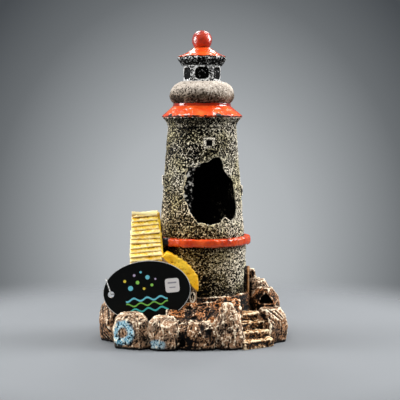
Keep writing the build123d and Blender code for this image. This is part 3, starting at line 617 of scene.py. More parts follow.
def paleTopResin():
    job = startPaint("paleTopResin", domePaint)
    tree = job["tree"]
    low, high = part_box("dome")
    height = addNode(tree, "SeparateXYZ", {0: job["place"]}).outputs["Z"]
    # painted light from above: paler colour towards the top, broken by the mottle
    rise = addNode(tree, "MapRange", {
        0: height, 1: low.z + domePaint["riseFrom"] * (high.z - low.z), 2: high.z})
    mottle = addNode(tree, "Math", {0: job["patch"], 1: domePaint["mottleShare"], 2: rise},
                     operation="MULTIPLY_ADD")
    pale = addNode(tree, "MapRange", {0: mottle, **span(domePaint["paleFrom"])})
    body = addNode(tree, "Mix", {0: pale, 6: job["body"], 7: domePaint["pale"]}, data_type="RGBA")
    # painted light from above: the wear rises towards the top and falls below, over the dry brush
    addWearAndLight(job, addNode(tree, "MapRange", {0: rise, **span(domePaint["riseLift"], at=3)}))
    # painted light: darker on the left flank than on the right
    liftFlanks(job, domePaint)
    return endPaint(job, washAndBrush(job, domePaint, body))


domeCast = {"voxel": 0.45, "Inset": -0.1, "Ridge Size": 2.6, "Ridge Height": 0.22, "Lump Size": 6,
            "Lump Height": 0.3, "Fine Span": 0.3, "Broad Span": 1.0}
castPiece("dome", domeCast, paleTopResin(), 9)

# Lantern: dark panes, pale flared mullions, and a notched dark eave
# paneMm: the radii between which the paint goes from pane to mullion
lanternPaint = {"undercoat": "#020202", "wash": ("#161614", "#2c2c29"), "brush": "#f0f0ee", "patchMm": 5,
                "gritMm": 0.9, "gritShare": 0.7, "trackMm": 1.5, "trackShare": 0.4, "patchShare": 0.4,
                "raisedShare": 1.0, "roughness": 0.6, "gloss": 0.06, "hollow": (0.34, 0.48),
                "brushFrom": (0.52, 0.74), "brushShare": 0.92, "paneMm": (10.9, 11.4), "paneLift": -0.05,
                "pane": "#050505", "mullion": "#9a9a99"}
eavePaint = dict(lanternPaint, raisedShare=0.35, trackShare=0.5, gritShare=0.9, trackMm=1.7,
                 brushFrom=(0.46, 0.62))


def lanternResin():
    job = startPaint("lanternResin", lanternPaint)
    tree = job["tree"]
    reach = axisDistance(tree, job["place"])[0]
    proud = addNode(tree, "MapRange", {0: reach, **span(lanternPaint["paneMm"], mm)})
    addWearAndLight(job, addNode(tree, "MapRange", {0: proud, 3: lanternPaint["paneLift"], 4: 0.0}))
    body = addNode(tree, "Mix", {0: proud, 6: lanternPaint["pane"], 7: lanternPaint["mullion"]},
                   data_type="RGBA")
    return endPaint(job, washAndBrush(job, lanternPaint, body))


lanternCast = {"voxel": 0.3, "Ridge Size": 2.0, "Ridge Height": 0.12, "Lump Size": 3, "Lump Height": 0.18,
               "Fine Span": 0.25, "Broad Span": 0.8}
castPiece("lantern_room", lanternCast, lanternResin(), 10)
darkStone = plainResin("darkResin", eavePaint)
eaveCast = {"voxel": 0.28, "Ridge Size": 1.8, "Ridge Height": 0.15, "Lump Size": 2.5, "Lump Height": 0.2,
            "Fine Span": 0.25, "Broad Span": 0.8}
castPiece("lantern_eave", eaveCast, darkStone, 11)
# the door leaf is dimmed nearly black: painted shade in the recessed doorway
castPiece("door_leaf", dict(frameCast, dim=0.5), darkStone, 12)
print("dome and lantern cast")

# Orange enamel: thick gloss paint by hand, uneven, chipped to black along its rims
# bigChips: centre and reach in mm; the collar entries give the dome's painted shadow on the gallery roof, a
# dark red band, with how far below the gallery's top it starts
enamelPaint = {"colours": ("#df5c24", "#cd3d13"), "patchMm": 7, "patchFrom": (0.35, 0.65), "roughness": 0.15,
               "coat": (0.15, 0.1), "chip": "#080605", "chipMm": 2.6, "rimFrom": (0.75, 1.3),
               "chipFrom": (0.34, 0.40), "chipRoughness": 0.7, "raggedMm": 1.4, "softMm": (0.6, 0.9),
               "bigChips": [(-14.6, -12.9, 137.6, 1.7), (15.3, -20.6, 137.9, 2.0)], "insideMm": 0.0,
               "collarShadow": "#8e1e06", "collarShadowMm": (2.3, 1.7), "collarShadowOverMm": 0.2, "collarShadowShare": 0.92}
beltPaint = dict(enamelPaint, colours=("#d4501f", "#b8340f"), coat=(0.25, 0.15), insideMm=26.0,
                 bigChips=[(-19.0, -16.5, 60.6, 5.2)], chip="#1d1d1e")
ballPaint = dict(enamelPaint, colours=("#b23012", "#8a1c07"), roughness=0.3, coat=(0.9, 0.22))
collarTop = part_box("gallery_roof")[1].z


def glossEnamel(name, paint):
    material, tree, shader = newMaterial(name)
    place = addNode(tree, "TexCoord").outputs["Object"]
    raised = addNode(tree, "Attribute", attribute_name="raised").outputs["Fac"]
    patch = addNode(tree, "TexNoise", {"Vector": place, "Scale": 1 / (paint["patchMm"] * mm)})
    spread = addNode(tree, "MapRange", {0: patch, **span(paint["patchFrom"])})
    bright, deep = paint["colours"]
    colour = addNode(tree, "Mix", {0: spread, 6: bright, 7: deep}, data_type="RGBA")
    spots = addNode(tree, "TexNoise", {"Vector": place, "Scale": 1 / (paint["chipMm"] * mm)})
    rim = addNode(tree, "MapRange", {0: raised, **span(paint["rimFrom"])})
    wear = addNode(tree, "Math", {0: spots, 1: rim}, operation="MULTIPLY")
    bare = addNode(tree, "MapRange", {0: wear, **span(paint["chipFrom"])})
    for *placeMm, reachMm in paint["bigChips"]:
        apart = spotDistance(tree, place, placeMm)
        ragged = addNode(tree, "Math", {0: spots, 1: paint["raggedMm"] * mm, 2: apart},
                         operation="MULTIPLY_ADD")
        edge = [reachMm + soft for soft in paint["softMm"]]
        lost = addNode(tree, "MapRange", {0: ragged, **span(edge, mm), 3: 1.0, 4: 0.0})
        bare = addNode(tree, "Math", {0: bare, 1: lost}, operation="MAXIMUM")
    reach, height = axisDistance(tree, place)
    inside = addNode(tree, "Math", {0: reach, 1: paint["insideMm"] * mm}, operation="LESS_THAN")
    bare = addNode(tree, "Math", {0: bare, 1: inside}, operation="MAXIMUM")
    # the dome's painted shadow: a dark red band round the top of the gallery roof
    start = [collarTop - v * mm for v in paint["collarShadowMm"]]
    above = addNode(tree, "MapRange", {0: height, **span(start), 4: paint["collarShadowShare"]})
    below = addNode(tree, "Math", {0: height, 1: collarTop + paint["collarShadowOverMm"] * mm},
                    operation="LESS_THAN")
    collarShadow = addNode(tree, "Math", {0: above, 1: below}, operation="MULTIPLY")
    for share, shade in ((collarShadow, paint["collarShadow"]), (bare, paint["chip"])):
        colour = addNode(tree, "Mix", {0: share, 6: colour, 7: shade}, data_type="RGBA")
    matte = addNode(tree, "MapRange", {0: bare, 3: paint["roughness"], 4: paint["chipRoughness"]})
    coatWeight, coatRoughness = paint["coat"]
    feed(tree, shader, {"Base Color": colour, "Roughness": matte, "IOR": castPaint["ior"],
                        "Coat Weight": coatWeight, "Coat Roughness": coatRoughness})
    return material


enamel = glossEnamel("glossEnamel", enamelPaint)
enamelCast = {"voxel": 0.45, "Lump Size": 5, "Lump Height": 0.18, "Ridge Size": 3, "Ridge Height": 0.05,
              "Fine Span": 0.2, "Broad Span": 0.6}
beltCast = {"voxel": 0.45, "Lump Size": 3.5, "Lump Height": 0.35, "Ridge Size": 3, "Ridge Height": 0.15,
            "Fine Span": 0.3, "Broad Span": 0.9}
smallCast = dict(enamelCast, voxel=0.35)
castPiece("gallery_roof", enamelCast, enamel, 13)
castPiece("tower_belt", beltCast, glossEnamel("beltEnamel", beltPaint), 14)
castPiece("lantern_roof", smallCast, enamel, 15)
castPiece("finial_ball", smallCast, glossEnamel("deepEnamel", ballPaint), 16)
print("enamel pieces cast")

# Rocks: brown washes over black, pale where the brush caught them and on their tops as painted light, blue on
# two faces
rockPaint = {"undercoat": "#030202", "wash": ("#553d2b", "#84654a"), "brush": "#f2e2c6", "patchMm": 7,
             "gritMm": 1.1, "gritShare": 0.2, "trackMm": 2.0, "trackShare": 0.12, "patchShare": 0.55,
             "raisedShare": 1.1, "roughness": 0.7, "gloss": 0.2, "hollow": (0.28, 0.44),
             "brushFrom": (0.60, 0.95), "brushShare": 0.94, "topTurn": (-0.2, 1.0), "topLift": (-0.12, 0.16),
             "outTurn": (-0.6, 0.9), "outLift": (-0.2, 0.05), "warm": "#a2622f", "warmFrom": (0.38, 0.62),
             "pale": "#a8947e", "blue": ("#5c9cb8", "#a6cedb"), "blotchFrom": (-0.3, 0.3), "raggedMm": 6,
             "innerSoftMm": (2.2, 3.4), "outerSoftMm": (2.4, 3.8), "blueLift": 0.09, "shadeLift": -0.45,
             "shadeSoft": 1.5, "foot": "#060505", "footMm": (1.1, 2.2)}
# centre, inner and outer reach in mm, and share of the blue paint
blueSpots = [((-41.7, -42.3, 9.8), 3.5, 7.0, 0.9), ((-21.0, -47.9, 1.6), -1.0, 5.0, 0.6)]
# centre and reach in mm of hollows and overhangs darkened with painted shade
shadeSpots = [((44.4, -6.0, 22.5), 5.2), ((-5.7, -44.5, 4.2), 4.6)]


def washedRock():
    job = startPaint("washedRock", rockPaint)
    tree = job["tree"]
    place = job["place"]
    upward = addNode(tree, "SeparateXYZ", {0: job["normal"]}).outputs["Z"]
    # painted light and shade: upward faces paler, as if lit from above, and faces turned towards the tower
    # darker, over the dry brush from outside
    fromAxis = addNode(tree, "VectorMath", {0: place, 1: (-axisX, -axisY, 0)})
    level = addNode(tree, "VectorMath", {0: fromAxis, 1: (1, 1, 0)}, operation="MULTIPLY")
    outward = addNode(tree, "VectorMath", {0: level}, operation="NORMALIZE")
    facing = addNode(tree, "VectorMath", {0: outward, 1: job["normal"]}, operation="DOT_PRODUCT")
    for turn, key in ((upward, "top"), (facing, "out")):
        addWearAndLight(job, addNode(tree, "MapRange", {
            0: turn, **span(rockPaint[key + "Turn"]), **span(rockPaint[key + "Lift"], at=3)}))
    warm, pale = [addNode(tree, "Attribute", attribute_name=key).outputs["Fac"] for key in ("warm", "pale")]
    drift = addNode(tree, "MapRange", {0: job["patch"], **span(rockPaint["warmFrom"])})
    warmShare = addNode(tree, "Math", {0: warm, 1: drift}, operation="MULTIPLY")
    body = job["body"]
    for share, shade in ((warmShare, rockPaint["warm"]), (pale, rockPaint["pale"])):
        body = addNode(tree, "Mix", {0: share, 6: body, 7: shade}, data_type="RGBA")
    blotch = addNode(tree, "MapRange", {0: job["track"], **span(rockPaint["blotchFrom"])})
    deep, light = rockPaint["blue"]
    blue = addNode(tree, "Mix", {0: blotch, 6: deep, 7: light}, data_type="RGBA")
    for centre, inner, outer, share in blueSpots:
        apart = spotDistance(tree, place, centre)
        ragged = addNode(tree, "Math", {0: job["patch"], 1: rockPaint["raggedMm"] * mm, 2: apart},
                         operation="MULTIPLY_ADD")
        innerEdge = [inner + soft for soft in rockPaint["innerSoftMm"]]
        outerEdge = [outer + soft for soft in rockPaint["outerSoftMm"]]
        near = addNode(tree, "MapRange", {0: ragged, **span(innerEdge, mm), 4: share})
        far = addNode(tree, "MapRange", {0: ragged, **span(outerEdge, mm), 3: 1.0, 4: 0.0})
        band = addNode(tree, "Math", {0: near, 1: far}, operation="MULTIPLY")
        body = addNode(tree, "Mix", {0: band, 6: body, 7: blue}, data_type="RGBA")
        addWearAndLight(job, band, rockPaint["blueLift"])
    # painted shade in the listed hollows
    for centre, reach in shadeSpots:
        edge = (reach, rockPaint["shadeSoft"] * reach)
        addWearAndLight(job, addNode(tree, "MapRange", {
            0: spotDistance(tree, place, centre), **span(edge, mm), 3: rockPaint["shadeLift"], 4: 0.0}))
    colour = washAndBrush(job, rockPaint, body)
    # a black band at the foot: the base's black edge, and painted shade where the rocks meet the floor
    height = addNode(tree, "SeparateXYZ", {0: place}).outputs["Z"]
    foot = addNode(tree, "MapRange", {0: height, **span(rockPaint["footMm"], mm)})
    return endPaint(job, addNode(tree, "Mix", {0: foot, 6: rockPaint["foot"], 7: colour}, data_type="RGBA"))


rockStone = washedRock()
rockCast = {"voxel": 0.42, "Inset": 0.05, "Ridge Size": 2.2, "Ridge Height": 0.16, "Lump Size": 6,
            "Lump Height": 0.32, "Crack Size": 14, "Crack Depth": 0.3, "Groove Size": 3.0,
            "Groove Height": 0.22, "Fine Span": 0.32, "Broad Span": 1.2}
# dim darkens a whole piece; on the mound and the plinth it is painted shade under the boulders and at the
# tower's foot
rocks = {
    "rock_mound": {"voxel": 0.7, "dim": 0.24, "warm": 0.3, "Lump Height": 0.5, "Fine Span": 0.6,
                   "Broad Span": 3.0},
    "tower_plinth": {"warm": 0.6, "dim": 0.32, "Lump Height": 0.45, "Lump Size": 5},
    "front_path": {"warm": 1.0, "dim": 0.22, "Crack Depth": 0.0, "Lump Size": 5, "Lump Height": 0.9,
                   "Broad Span": 1.8},
    "left_boulder": {"warm": 0.2, "dim": 0.14},
    "ring_boulder": {"pale": 0.2, "warm": 0.3, "dim": 0.03},
    "front_boulder": {"pale": 0.25, "warm": 0.4},
    "front_ledge": {"warm": 0.2, "dim": 0.12, "Lump Height": 0.5, "Lump Size": 4},
    "spur_rock": {"pale": 0.15, "warm": 0.35, "Lump Height": 0.5, "Lump Size": 4},
    "right_low_boulder": {"pale": 0.1, "warm": 0.5, "dim": 0.05},
    "right_arch_rock": {"warm": 0.75, "dim": 0.02},
    "rear_right_boulder": {"pale": 0.1, "warm": 0.2, "dim": 0.1},
    "stack_stone_low": {"pale": 0.2, "dim": 0.1, "Lump Size": 4},
    "stack_stone_high": {"warm": 0.2, "dim": 0.14, "Lump Size": 4},
    "rear_boulder": {"pale": 0.1, "warm": 0.2},
    "rear_left_boulder": {"pale": 0.2, "warm": 0.25},
}
for seed, (nodeName, own) in enumerate(rocks.items(), 20):
    castPiece(nodeName, dict(rockCast, **own), rockStone, seed)
print("rocks cast")

# Steps: ochre treads, risers painted darker as shade
stepPaint = dict(rockPaint, wash=("#8a5e34", "#b58450"), brush="#ecd6b2", patchMm=6, hollow=(0.36, 0.52),
                 brushFrom=(0.66, 1.05), riser="#6b4726", treadTurn=(0.25, 0.8), treadLift=(-0.1, 0.05))


def ochreStone():
    job = startPaint("ochreStone", stepPaint)
    tree = job["tree"]
    upward = addNode(tree, "SeparateXYZ", {0: job["normal"]}).outputs["Z"]
    # risers take a darker colour: painted shade on faces that don't look up
    tread = addNode(tree, "MapRange", {0: upward, **span(stepPaint["treadTurn"])})
    body = addNode(tree, "Mix", {0: tread, 6: stepPaint["riser"], 7: job["body"]}, data_type="RGBA")
    # painted light and shade: treads paler than risers, as if lit from above, over the dry brush
    addWearAndLight(job, addNode(tree, "MapRange", {0: tread, **span(stepPaint["treadLift"], at=3)}))
    return endPaint(job, washAndBrush(job, stepPaint, body))


ochre = ochreStone()
stepCast = {"voxel": 0.42, "Ridge Size": 2.4, "Ridge Height": 0.18, "Lump Size": 4, "Lump Height": 0.7,
            "Groove Size": 3, "Groove Height": 0.25, "grooveTurn": (0, 90, 32), "Fine Span": 0.35,
            "Broad Span": 1.4}
for seed, nodeName in enumerate(("step_bottom", "step_middle", "step_upper", "step_landing"), 40):
    castPiece(nodeName, stepCast, ochre, seed)
print("steps cast")

# Cottage and lean-to walls: dark brown resin, with a pale ring round the oval window
brownPaint = dict(rockPaint, wash=("#34251a", "#463222"), brush="#a98a68", brushFrom=(0.62, 0.95), patchMm=6)
ringPaint = dict(rockPaint, wash=("#8d7862", "#a58f78"), brush="#eadcc6", brushFrom=(0.5, 0.75))
doorPaint = dict(brownPaint, wash=("#7a4a26", "#94602f"), inner="#060504", brownMm=(2.4, 1.5))


def slotFrameResin():
    # black towards the tower, as painted shade in the slot beside it, brown only along the outer edge
    job = startPaint("slotFrameResin", doorPaint)
    tree = job["tree"]
    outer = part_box("door_frame")[1].x
    start = [outer - v * mm for v in doorPaint["brownMm"]]
    across = addNode(tree, "SeparateXYZ", {0: job["place"]}).outputs["X"]
    edge = addNode(tree, "MapRange", {0: across, **span(start)})
    body = addNode(tree, "Mix", {0: edge, 6: doorPaint["inner"], 7: job["body"]}, data_type="RGBA")
    return endPaint(job, washAndBrush(job, doorPaint, body))


brown = plainResin("brownWallResin", brownPaint)
castPiece("door_frame", frameCast, slotFrameResin(), 7)
wallSideCast = {"voxel": 0.5, "Ridge Size": 2.4, "Ridge Height": 0.2, "Lump Size": 5, "Lump Height": 0.25}
castPiece("cottage_walls", wallSideCast, brown, 44)
castPiece("leanto_walls", wallSideCast, brown, 45)
castPiece("leanto_window", dict(frameCast, voxel=0.22), plainResin("paleRingResin", ringPaint), 46)
print("cottage walls cast")

# Thatch: courses of yellow-painted thatch down the slope, and a rolled verge
# outline: a course's section, as shares of the pitch and of the nose; tuckedMm: its points hidden below, with
# heights in mm; endSwell: what is left of the nose at a course's ends; stretch, thick, sway: random limits
thatch = {"courses": 13, "noseMm": 1.7, "tiltDegrees": 4.0, "sunkMm": 1.1, "stripSteps": 40,
          "outline": [(0.62, 0.15), (0.25, 0.55), (-0.15, 0.88), (-0.42, 1.0), (-0.60, 0.86), (-0.66, 0.45)],
          "tuckedMm": [(-0.60, -0.1), (-0.4, -0.5), (0.75, -0.5)], "endSwell": {0: 0.55, 1: 0.85},
          "stretch": (0.97, 1.04), "thick": (0.85, 1.2), "sway": (-0.045, 0.045), "seeds": (7, 3),
          "vergeMm": 0.9, "vergeSides": 16, "vergeSunkMm": 1.0, "ridgeMm": (-37.6, -21.8),
          "eaveMm": (-38.8, -18.1)}
thatchCast = {"voxel": 0.4, "Lump Size": 3.2, "Lump Height": 0.28, "Ridge Size": 2, "Ridge Height": 0.06,
              "Fine Span": 0.5, "Broad Span": 1.6}
thatchPaint = {"undercoat": "#5d3a04", "wash": ("#f0bc22", "#f8d342"), "brush": "#fff3bd", "patchMm": 8,
               "gritMm": 1.4, "gritShare": 0.4, "trackMm": 2.2, "trackShare": 0.12, "patchShare": 0.3,
               "raisedShare": 1.0, "roughness": 0.45, "gloss": 0.22, "hollow": (0.32, 0.54),
               "brushFrom": (0.70, 1.15), "brushShare": 0.8, "under": "#b8730f", "underShadeTurn": (-0.5, 0.15),
               "underShadeShare": 0.75}
goldPaint = dict(thatchPaint, wash=("#f7b41a", "#ffd03c"), brush="#ffe890", undercoat="#8a5808",
                 hollow=(0.1, 0.36), gritShare=0.6, trackShare=0.15, underShadeShare=0.2)


def buildThatchTree():
    tree, given = newTree("thatchCourses", {
        "Strip": "Object", "Courses": "Int", "Ridge": "Vector", "Eave": "Vector", "Ridge Width": "Float",
        "Eave Width": "Float", "Slope Turn": "Vector", "Tilt": "Float", "Seed": "Int"})
    line = addNode(tree, "GeometryNodeMeshLine", {
        "Count": given["Courses"], "Start Location": given["Ridge"], "Offset": given["Eave"]},
        mode="END_POINTS")
    index = addNode(tree, "GeometryNodeInputIndex")
    down = addNode(tree, "Math", {0: index, 1: given["Courses"]}, operation="DIVIDE")
    width = addNode(tree, "Mix", {0: down, 2: given["Ridge Width"], 3: given["Eave Width"]})
    stretch, thick, sway = [
        addNode(tree, "FunctionNodeRandomValue", {**span(thatch[key], at=2), "Seed": seed}, data_type="FLOAT")
        for key, seed in zip(("stretch", "thick", "sway"), (given["Seed"], *thatch["seeds"]))]
    long = addNode(tree, "Math", {0: width, 1: stretch}, operation="MULTIPLY")
    scale = addNode(tree, "CombineXYZ", {0: long, 1: 1.0, 2: thick})
    lean = addNode(tree, "Math", {0: sway, 1: given["Tilt"]})
    inPlane = addNode(tree, "FunctionNodeAxisAngleToRotation", {"Axis": (0, 0, 1), "Angle": lean})
    slope = addNode(tree, "FunctionNodeEulerToRotation", {0: given["Slope Turn"]})
    turn = addNode(tree, "FunctionNodeRotateRotation", {0: slope, 1: inPlane}, rotation_space="LOCAL")
    strip = addNode(tree, "GeometryNodeObjectInfo", {0: given["Strip"]})
    rows = addNode(tree, "GeometryNodeInstanceOnPoints", {
        "Points": line, "Instance": strip.outputs["Geometry"], "Rotation": turn, "Scale": scale})
    real = addNode(tree, "GeometryNodeRealizeInstances", {0: rows})
    both = addNode(tree, "GeometryNodeJoinGeometry", {0: given["Geometry"]})
    feed(tree, both, {0: real})
    addNode(tree, "NodeGroupOutput", {0: both})
    return tree


def courseStrip(pitchMm):
    # one course, a metre long along X: tucked in at its top, thick and round at its lower edge
    tucked = thatch["tuckedMm"]
    outline = [tucked[-1], *[(y, z * thatch["noseMm"]) for y, z in thatch["outline"]], *tucked[:-1]]
    work = bmesh.new()
    rings = []
    steps = thatch["stripSteps"]
    for i in range(steps + 1):
        swell = thatch["endSwell"].get(min(i, steps - i), 1.0)
        rings.append([work.verts.new((i / steps - 0.5, y * pitchMm * mm, z * mm * (swell if z > 0 else 1)))
                      for y, z in outline])
    for first, second in zip(rings, rings[1:]):
        for k in range(len(outline)):
            after = (k + 1) % len(outline)
            work.faces.new((first[k], first[after], second[after], second[k]))
    work.faces.new(rings[0])
    work.faces.new(reversed(rings[-1]))
    bmesh.ops.recalc_face_normals(work, faces=work.faces)
    return pieceFrom(work, "courseStrip")


def addRoll(piece, start, end, radiusMm):
    # a round roll joined to a slab before the voxels make the two one skin
    work = bmesh.new()
    work.from_mesh(piece.data)
    along = end - start
    turn = Vector((0, 0, 1)).rotation_difference(along).to_matrix().to_4x4()
    bmesh.ops.create_cone(work, cap_ends=True, segments=thatch["vergeSides"], radius1=radiusMm * mm,
                          radius2=radiusMm * mm, depth=along.length,
                          matrix=Matrix.Translation((start + end) / 2) @ turn)
    work.to_mesh(piece.data)
    work.free()


def paintedThatch(name, paint):
    # satin enamel over moulded straw: bright where it stands proud, and golden brown painted shade under the
    # courses, on faces turned down
    job = startPaint(name, paint)
    tree = job["tree"]
    upward = addNode(tree, "SeparateXYZ", {0: job["normal"]}).outputs["Z"]
    # painted shade: faces turned down go golden brown
    under = addNode(tree, "MapRange", {
        0: upward, **span(paint["underShadeTurn"]), 3: paint["underShadeShare"], 4: 0.0})
    colour = washAndBrush(job, paint, job["body"])
    return endPaint(job, addNode(tree, "Mix", {0: under, 6: colour, 7: paint["under"]}, data_type="RGBA"))


thatchTree = buildThatchTree()
yellow = paintedThatch("yellowThatch", thatchPaint)
gold = paintedThatch("goldenThatch", goldPaint)


def thatchSlope(nodeName, sign, seed):
    low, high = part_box(nodeName)
    ridgeY, eaveY = (high.y, low.y) if sign > 0 else (low.y, high.y)
    ridgeX = [v * mm for v in thatch["ridgeMm"]]
    eaveX = [v * mm for v in thatch["eaveMm"]]
    ridge = Vector((sum(ridgeX) / 2, ridgeY, high.z))
    eave = Vector((sum(eaveX) / 2, eaveY, low.z))
    pitchMm = (eave - ridge).length / mm / thatch["courses"]
    fall = math.atan2(high.z - low.z, abs(eaveY - ridgeY))
    inward = Vector((0, sign * math.sin(fall), -math.cos(fall)))
    piece = copySolid(nodeName, nodeName + "Thatch")
    rollSunk = inward * (thatch["vergeSunkMm"] * mm)
    addRoll(piece, Vector((ridgeX[1], ridgeY, high.z)) + rollSunk,
            Vector((eaveX[1], eaveY, low.z)) + rollSunk, thatch["vergeMm"])
    addVoxels(piece, thatchCast["voxel"])
    strip = courseStrip(pitchMm)
    half = (eave - ridge).normalized() * (0.5 * pitchMm * mm)
    sunk = inward * (thatch["sunkMm"] * mm)
    addTree(piece, "courses", thatchTree, {
        "Strip": strip, "Courses": thatch["courses"], "Seed": seed,
        "Ridge": ridge + half + sunk, "Eave": eave - half + sunk,
        "Ridge Width": ridgeX[1] - ridgeX[0], "Eave Width": eaveX[1] - eaveX[0],
        "Slope Turn": (fall, 0, 0 if sign > 0 else math.pi),
        "Tilt": math.radians(thatch["tiltDegrees"]) * (1 if sign > 0 else 0)})
    addRelief(piece, thatchCast, yellow, seed)
    seat(piece, nodeName)
    bpy.data.objects.remove(strip)


thatchSlope("cottage_roof_front", 1, 50)
thatchSlope("cottage_roof_back", -1, 51)
castPiece("leanto_roof", dict(thatchCast, **{"Lump Height": 0.35, "Lump Size": 4}), gold, 52)
print("thatch laid")

# Tag: a black satin card with a white core, printed with plain waves, bubbles and a blank panel
tag = {"tiltDegrees": 5.5, "halfMm": 0.3, "black": ("#030403", "#080908"), "core": "#e6e6e4",
       "faceTurn": (0.4, 0.6), "fibreMm": 1.5, "fibreDetail": 3.0, "roughness": (0.42, 0.55), "gloss": 0.2,
       "inkMm": 0.05, "inkSunkMm": 0.02, "inkRoughness": 0.4, "thinMm": 0.8, "thinShare": 0.18,
       "thinColour": "#2a2b2a",
       "waves": [(-11.0, "#3fb3b0", 0.55), (-7.6, "#79b84a", 0.45), (-4.6, "#6fc6d6", 0.55)],
       "waveSpanMm": (-13.0, 12.0), "waveHighMm": 0.9, "waveLengthMm": 8.0, "waveSteps": 48,
       "bubbles": [(-9.5, 2.5, 1.5, "#6fc6d6"), (-5.0, 5.6, 1.1, "#8fcf5a"), (-1.5, 1.6, 0.8, "#e5cf45"),
                   (1.2, 8.2, 1.3, "#6fc6d6"), (3.4, 3.4, 0.9, "#8fcf5a"), (-6.6, 10.0, 0.8, "#b9a9c6"),
                   (-12.6, 7.0, 0.9, "#e5cf45"), (-2.6, 11.6, 0.7, "#6fc6d6"), (5.8, 6.8, 0.6, "#b9a9c6")],
       "bubbleSteps": 20, "panelMm": (15.5, 2.0, 8.4, 8.4, 1.6), "panelColour": "#d9d5d2", "cornerSteps": 4,
       "bars": [(15.5, 3.6, 5.4, 0.9, "#8d8a92"), (15.5, 0.8, 3.8, 0.7, "#8d8a92")], "barRound": 0.45,
       "barLift": 1.6, "coreMm": 0.3, "coreColour": "#c4c6c5", "coreLift": 0.6, "rimSteps": 72, "weldM": 1e-7}


def satinCard():
    # laminated black card: satin front and back, and the white core along its cut edge
    material, tree, shader = newMaterial("laminatedCard")
    coords = addNode(tree, "TexCoord").outputs
    outward = tuple(frame["joints"][0]["axis"])
    facing = addNode(tree, "VectorMath", {0: coords["Normal"], 1: outward}, operation="DOT_PRODUCT")
    flat = addNode(tree, "Math", {0: facing}, operation="ABSOLUTE")
    face = addNode(tree, "MapRange", {0: flat, **span(tag["faceTurn"])})
    fibre = addNode(tree, "TexNoise", {
        "Vector": coords["Object"], "Scale": 1 / (tag["fibreMm"] * mm), "Detail": tag["fibreDetail"]})
    deep, light = tag["black"]
    black = addNode(tree, "Mix", {0: fibre, 6: deep, 7: light}, data_type="RGBA")
    colour = addNode(tree, "Mix", {0: face, 6: tag["core"], 7: black}, data_type="RGBA")
    rough = addNode(tree, "MapRange", {0: fibre, **span(tag["roughness"], at=3)})
    feed(tree, shader, {"Base Color": colour, "Roughness": rough, "Specular IOR Level": tag["gloss"]})
    return material


def screenInk():
    # screen-printed ink: flat and slightly glossier than the card, each shape in its own stored colour
    material, tree, shader = newMaterial("screenInk")
    place = addNode(tree, "TexCoord").outputs["Object"]
    ink = addNode(tree, "Attribute", attribute_name="inkColour").outputs["Color"]
    thin = addNode(tree, "TexNoise", {"Vector": place, "Scale": 1 / (tag["thinMm"] * mm)})
    share = addNode(tree, "MapRange", {0: thin, 3: 0.0, 4: tag["thinShare"]})
    colour = addNode(tree, "Mix", {0: share, 6: ink, 7: tag["thinColour"]}, data_type="RGBA")
    feed(tree, shader, {"Base Color": colour, "Roughness": tag["inkRoughness"]})
    return material


cardLow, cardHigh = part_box("tag_card")
cardMiddle = (cardLow + cardHigh) / 2
cardOut = Vector(frame["joints"][0]["axis"]).normalized()
cardUp = (Vector((0, 0, 1)) - cardOut * cardOut.z).normalized()
cardRight = cardUp.cross(cardOut)
cardTilt = math.radians(tag["tiltDegrees"])
tagRight = cardRight * math.cos(cardTilt) + cardUp * math.sin(cardTilt)
tagUp = cardUp * math.cos(cardTilt) - cardRight * math.sin(cardTilt)


def printShape(work, layer, outline, colour, lift=1.0):
    # a closed flake of ink, from just inside the card's face to a hair above it
    lower = []
    upper = []
    for across, up in outline:
        spot = cardMiddle + (tagRight * across + tagUp * up) * mm
        lower.append(work.verts.new(spot + cardOut * ((tag["halfMm"] - tag["inkSunkMm"]) * mm)))
        upper.append(work.verts.new(spot + cardOut * ((tag["halfMm"] + tag["inkMm"] * lift) * mm)))
    faces = [work.faces.new(upper), work.faces.new(list(reversed(lower)))]
    for k in range(len(outline)):
        after = (k + 1) % len(outline)
        faces.append(work.faces.new((lower[k], lower[after], upper[after], upper[k])))
    for face in faces:
        for loop in face.loops:
            loop[layer] = hexToLinear(colour)


def roundedPanel(across, up, wide, high, corner):
    points = []
    steps = tag["cornerSteps"]
    for quarter, (sx, sy) in enumerate(((1, 1), (-1, 1), (-1, -1), (1, -1))):
        for k in range(steps + 1):
            angle = math.radians(90 * quarter + 90 / steps * k)
            points.append((across + sx * (wide / 2 - corner) + corner * math.cos(angle),
                           up + sy * (high / 2 - corner) + corner * math.sin(angle)))
    return points


def cardRim():
    # the card's outline in its own directions: the furthest point of its solid in each of many directions
    places = []
    for vertex in frame["nodes"]["tag_card"].data.vertices:
        spot = vertex.co - cardMiddle
        places.append((spot.dot(tagRight) / mm, spot.dot(tagUp) / mm))
    rim = []
    for k in range(tag["rimSteps"]):
        angle = math.tau * k / tag["rimSteps"]
        ahead = (math.cos(angle), math.sin(angle))
        rim.append(max(places, key=lambda place: place[0] * ahead[0] + place[1] * ahead[1]))
    return [place for place, before in zip(rim, rim[-1:] + rim[:-1]) if place != before]


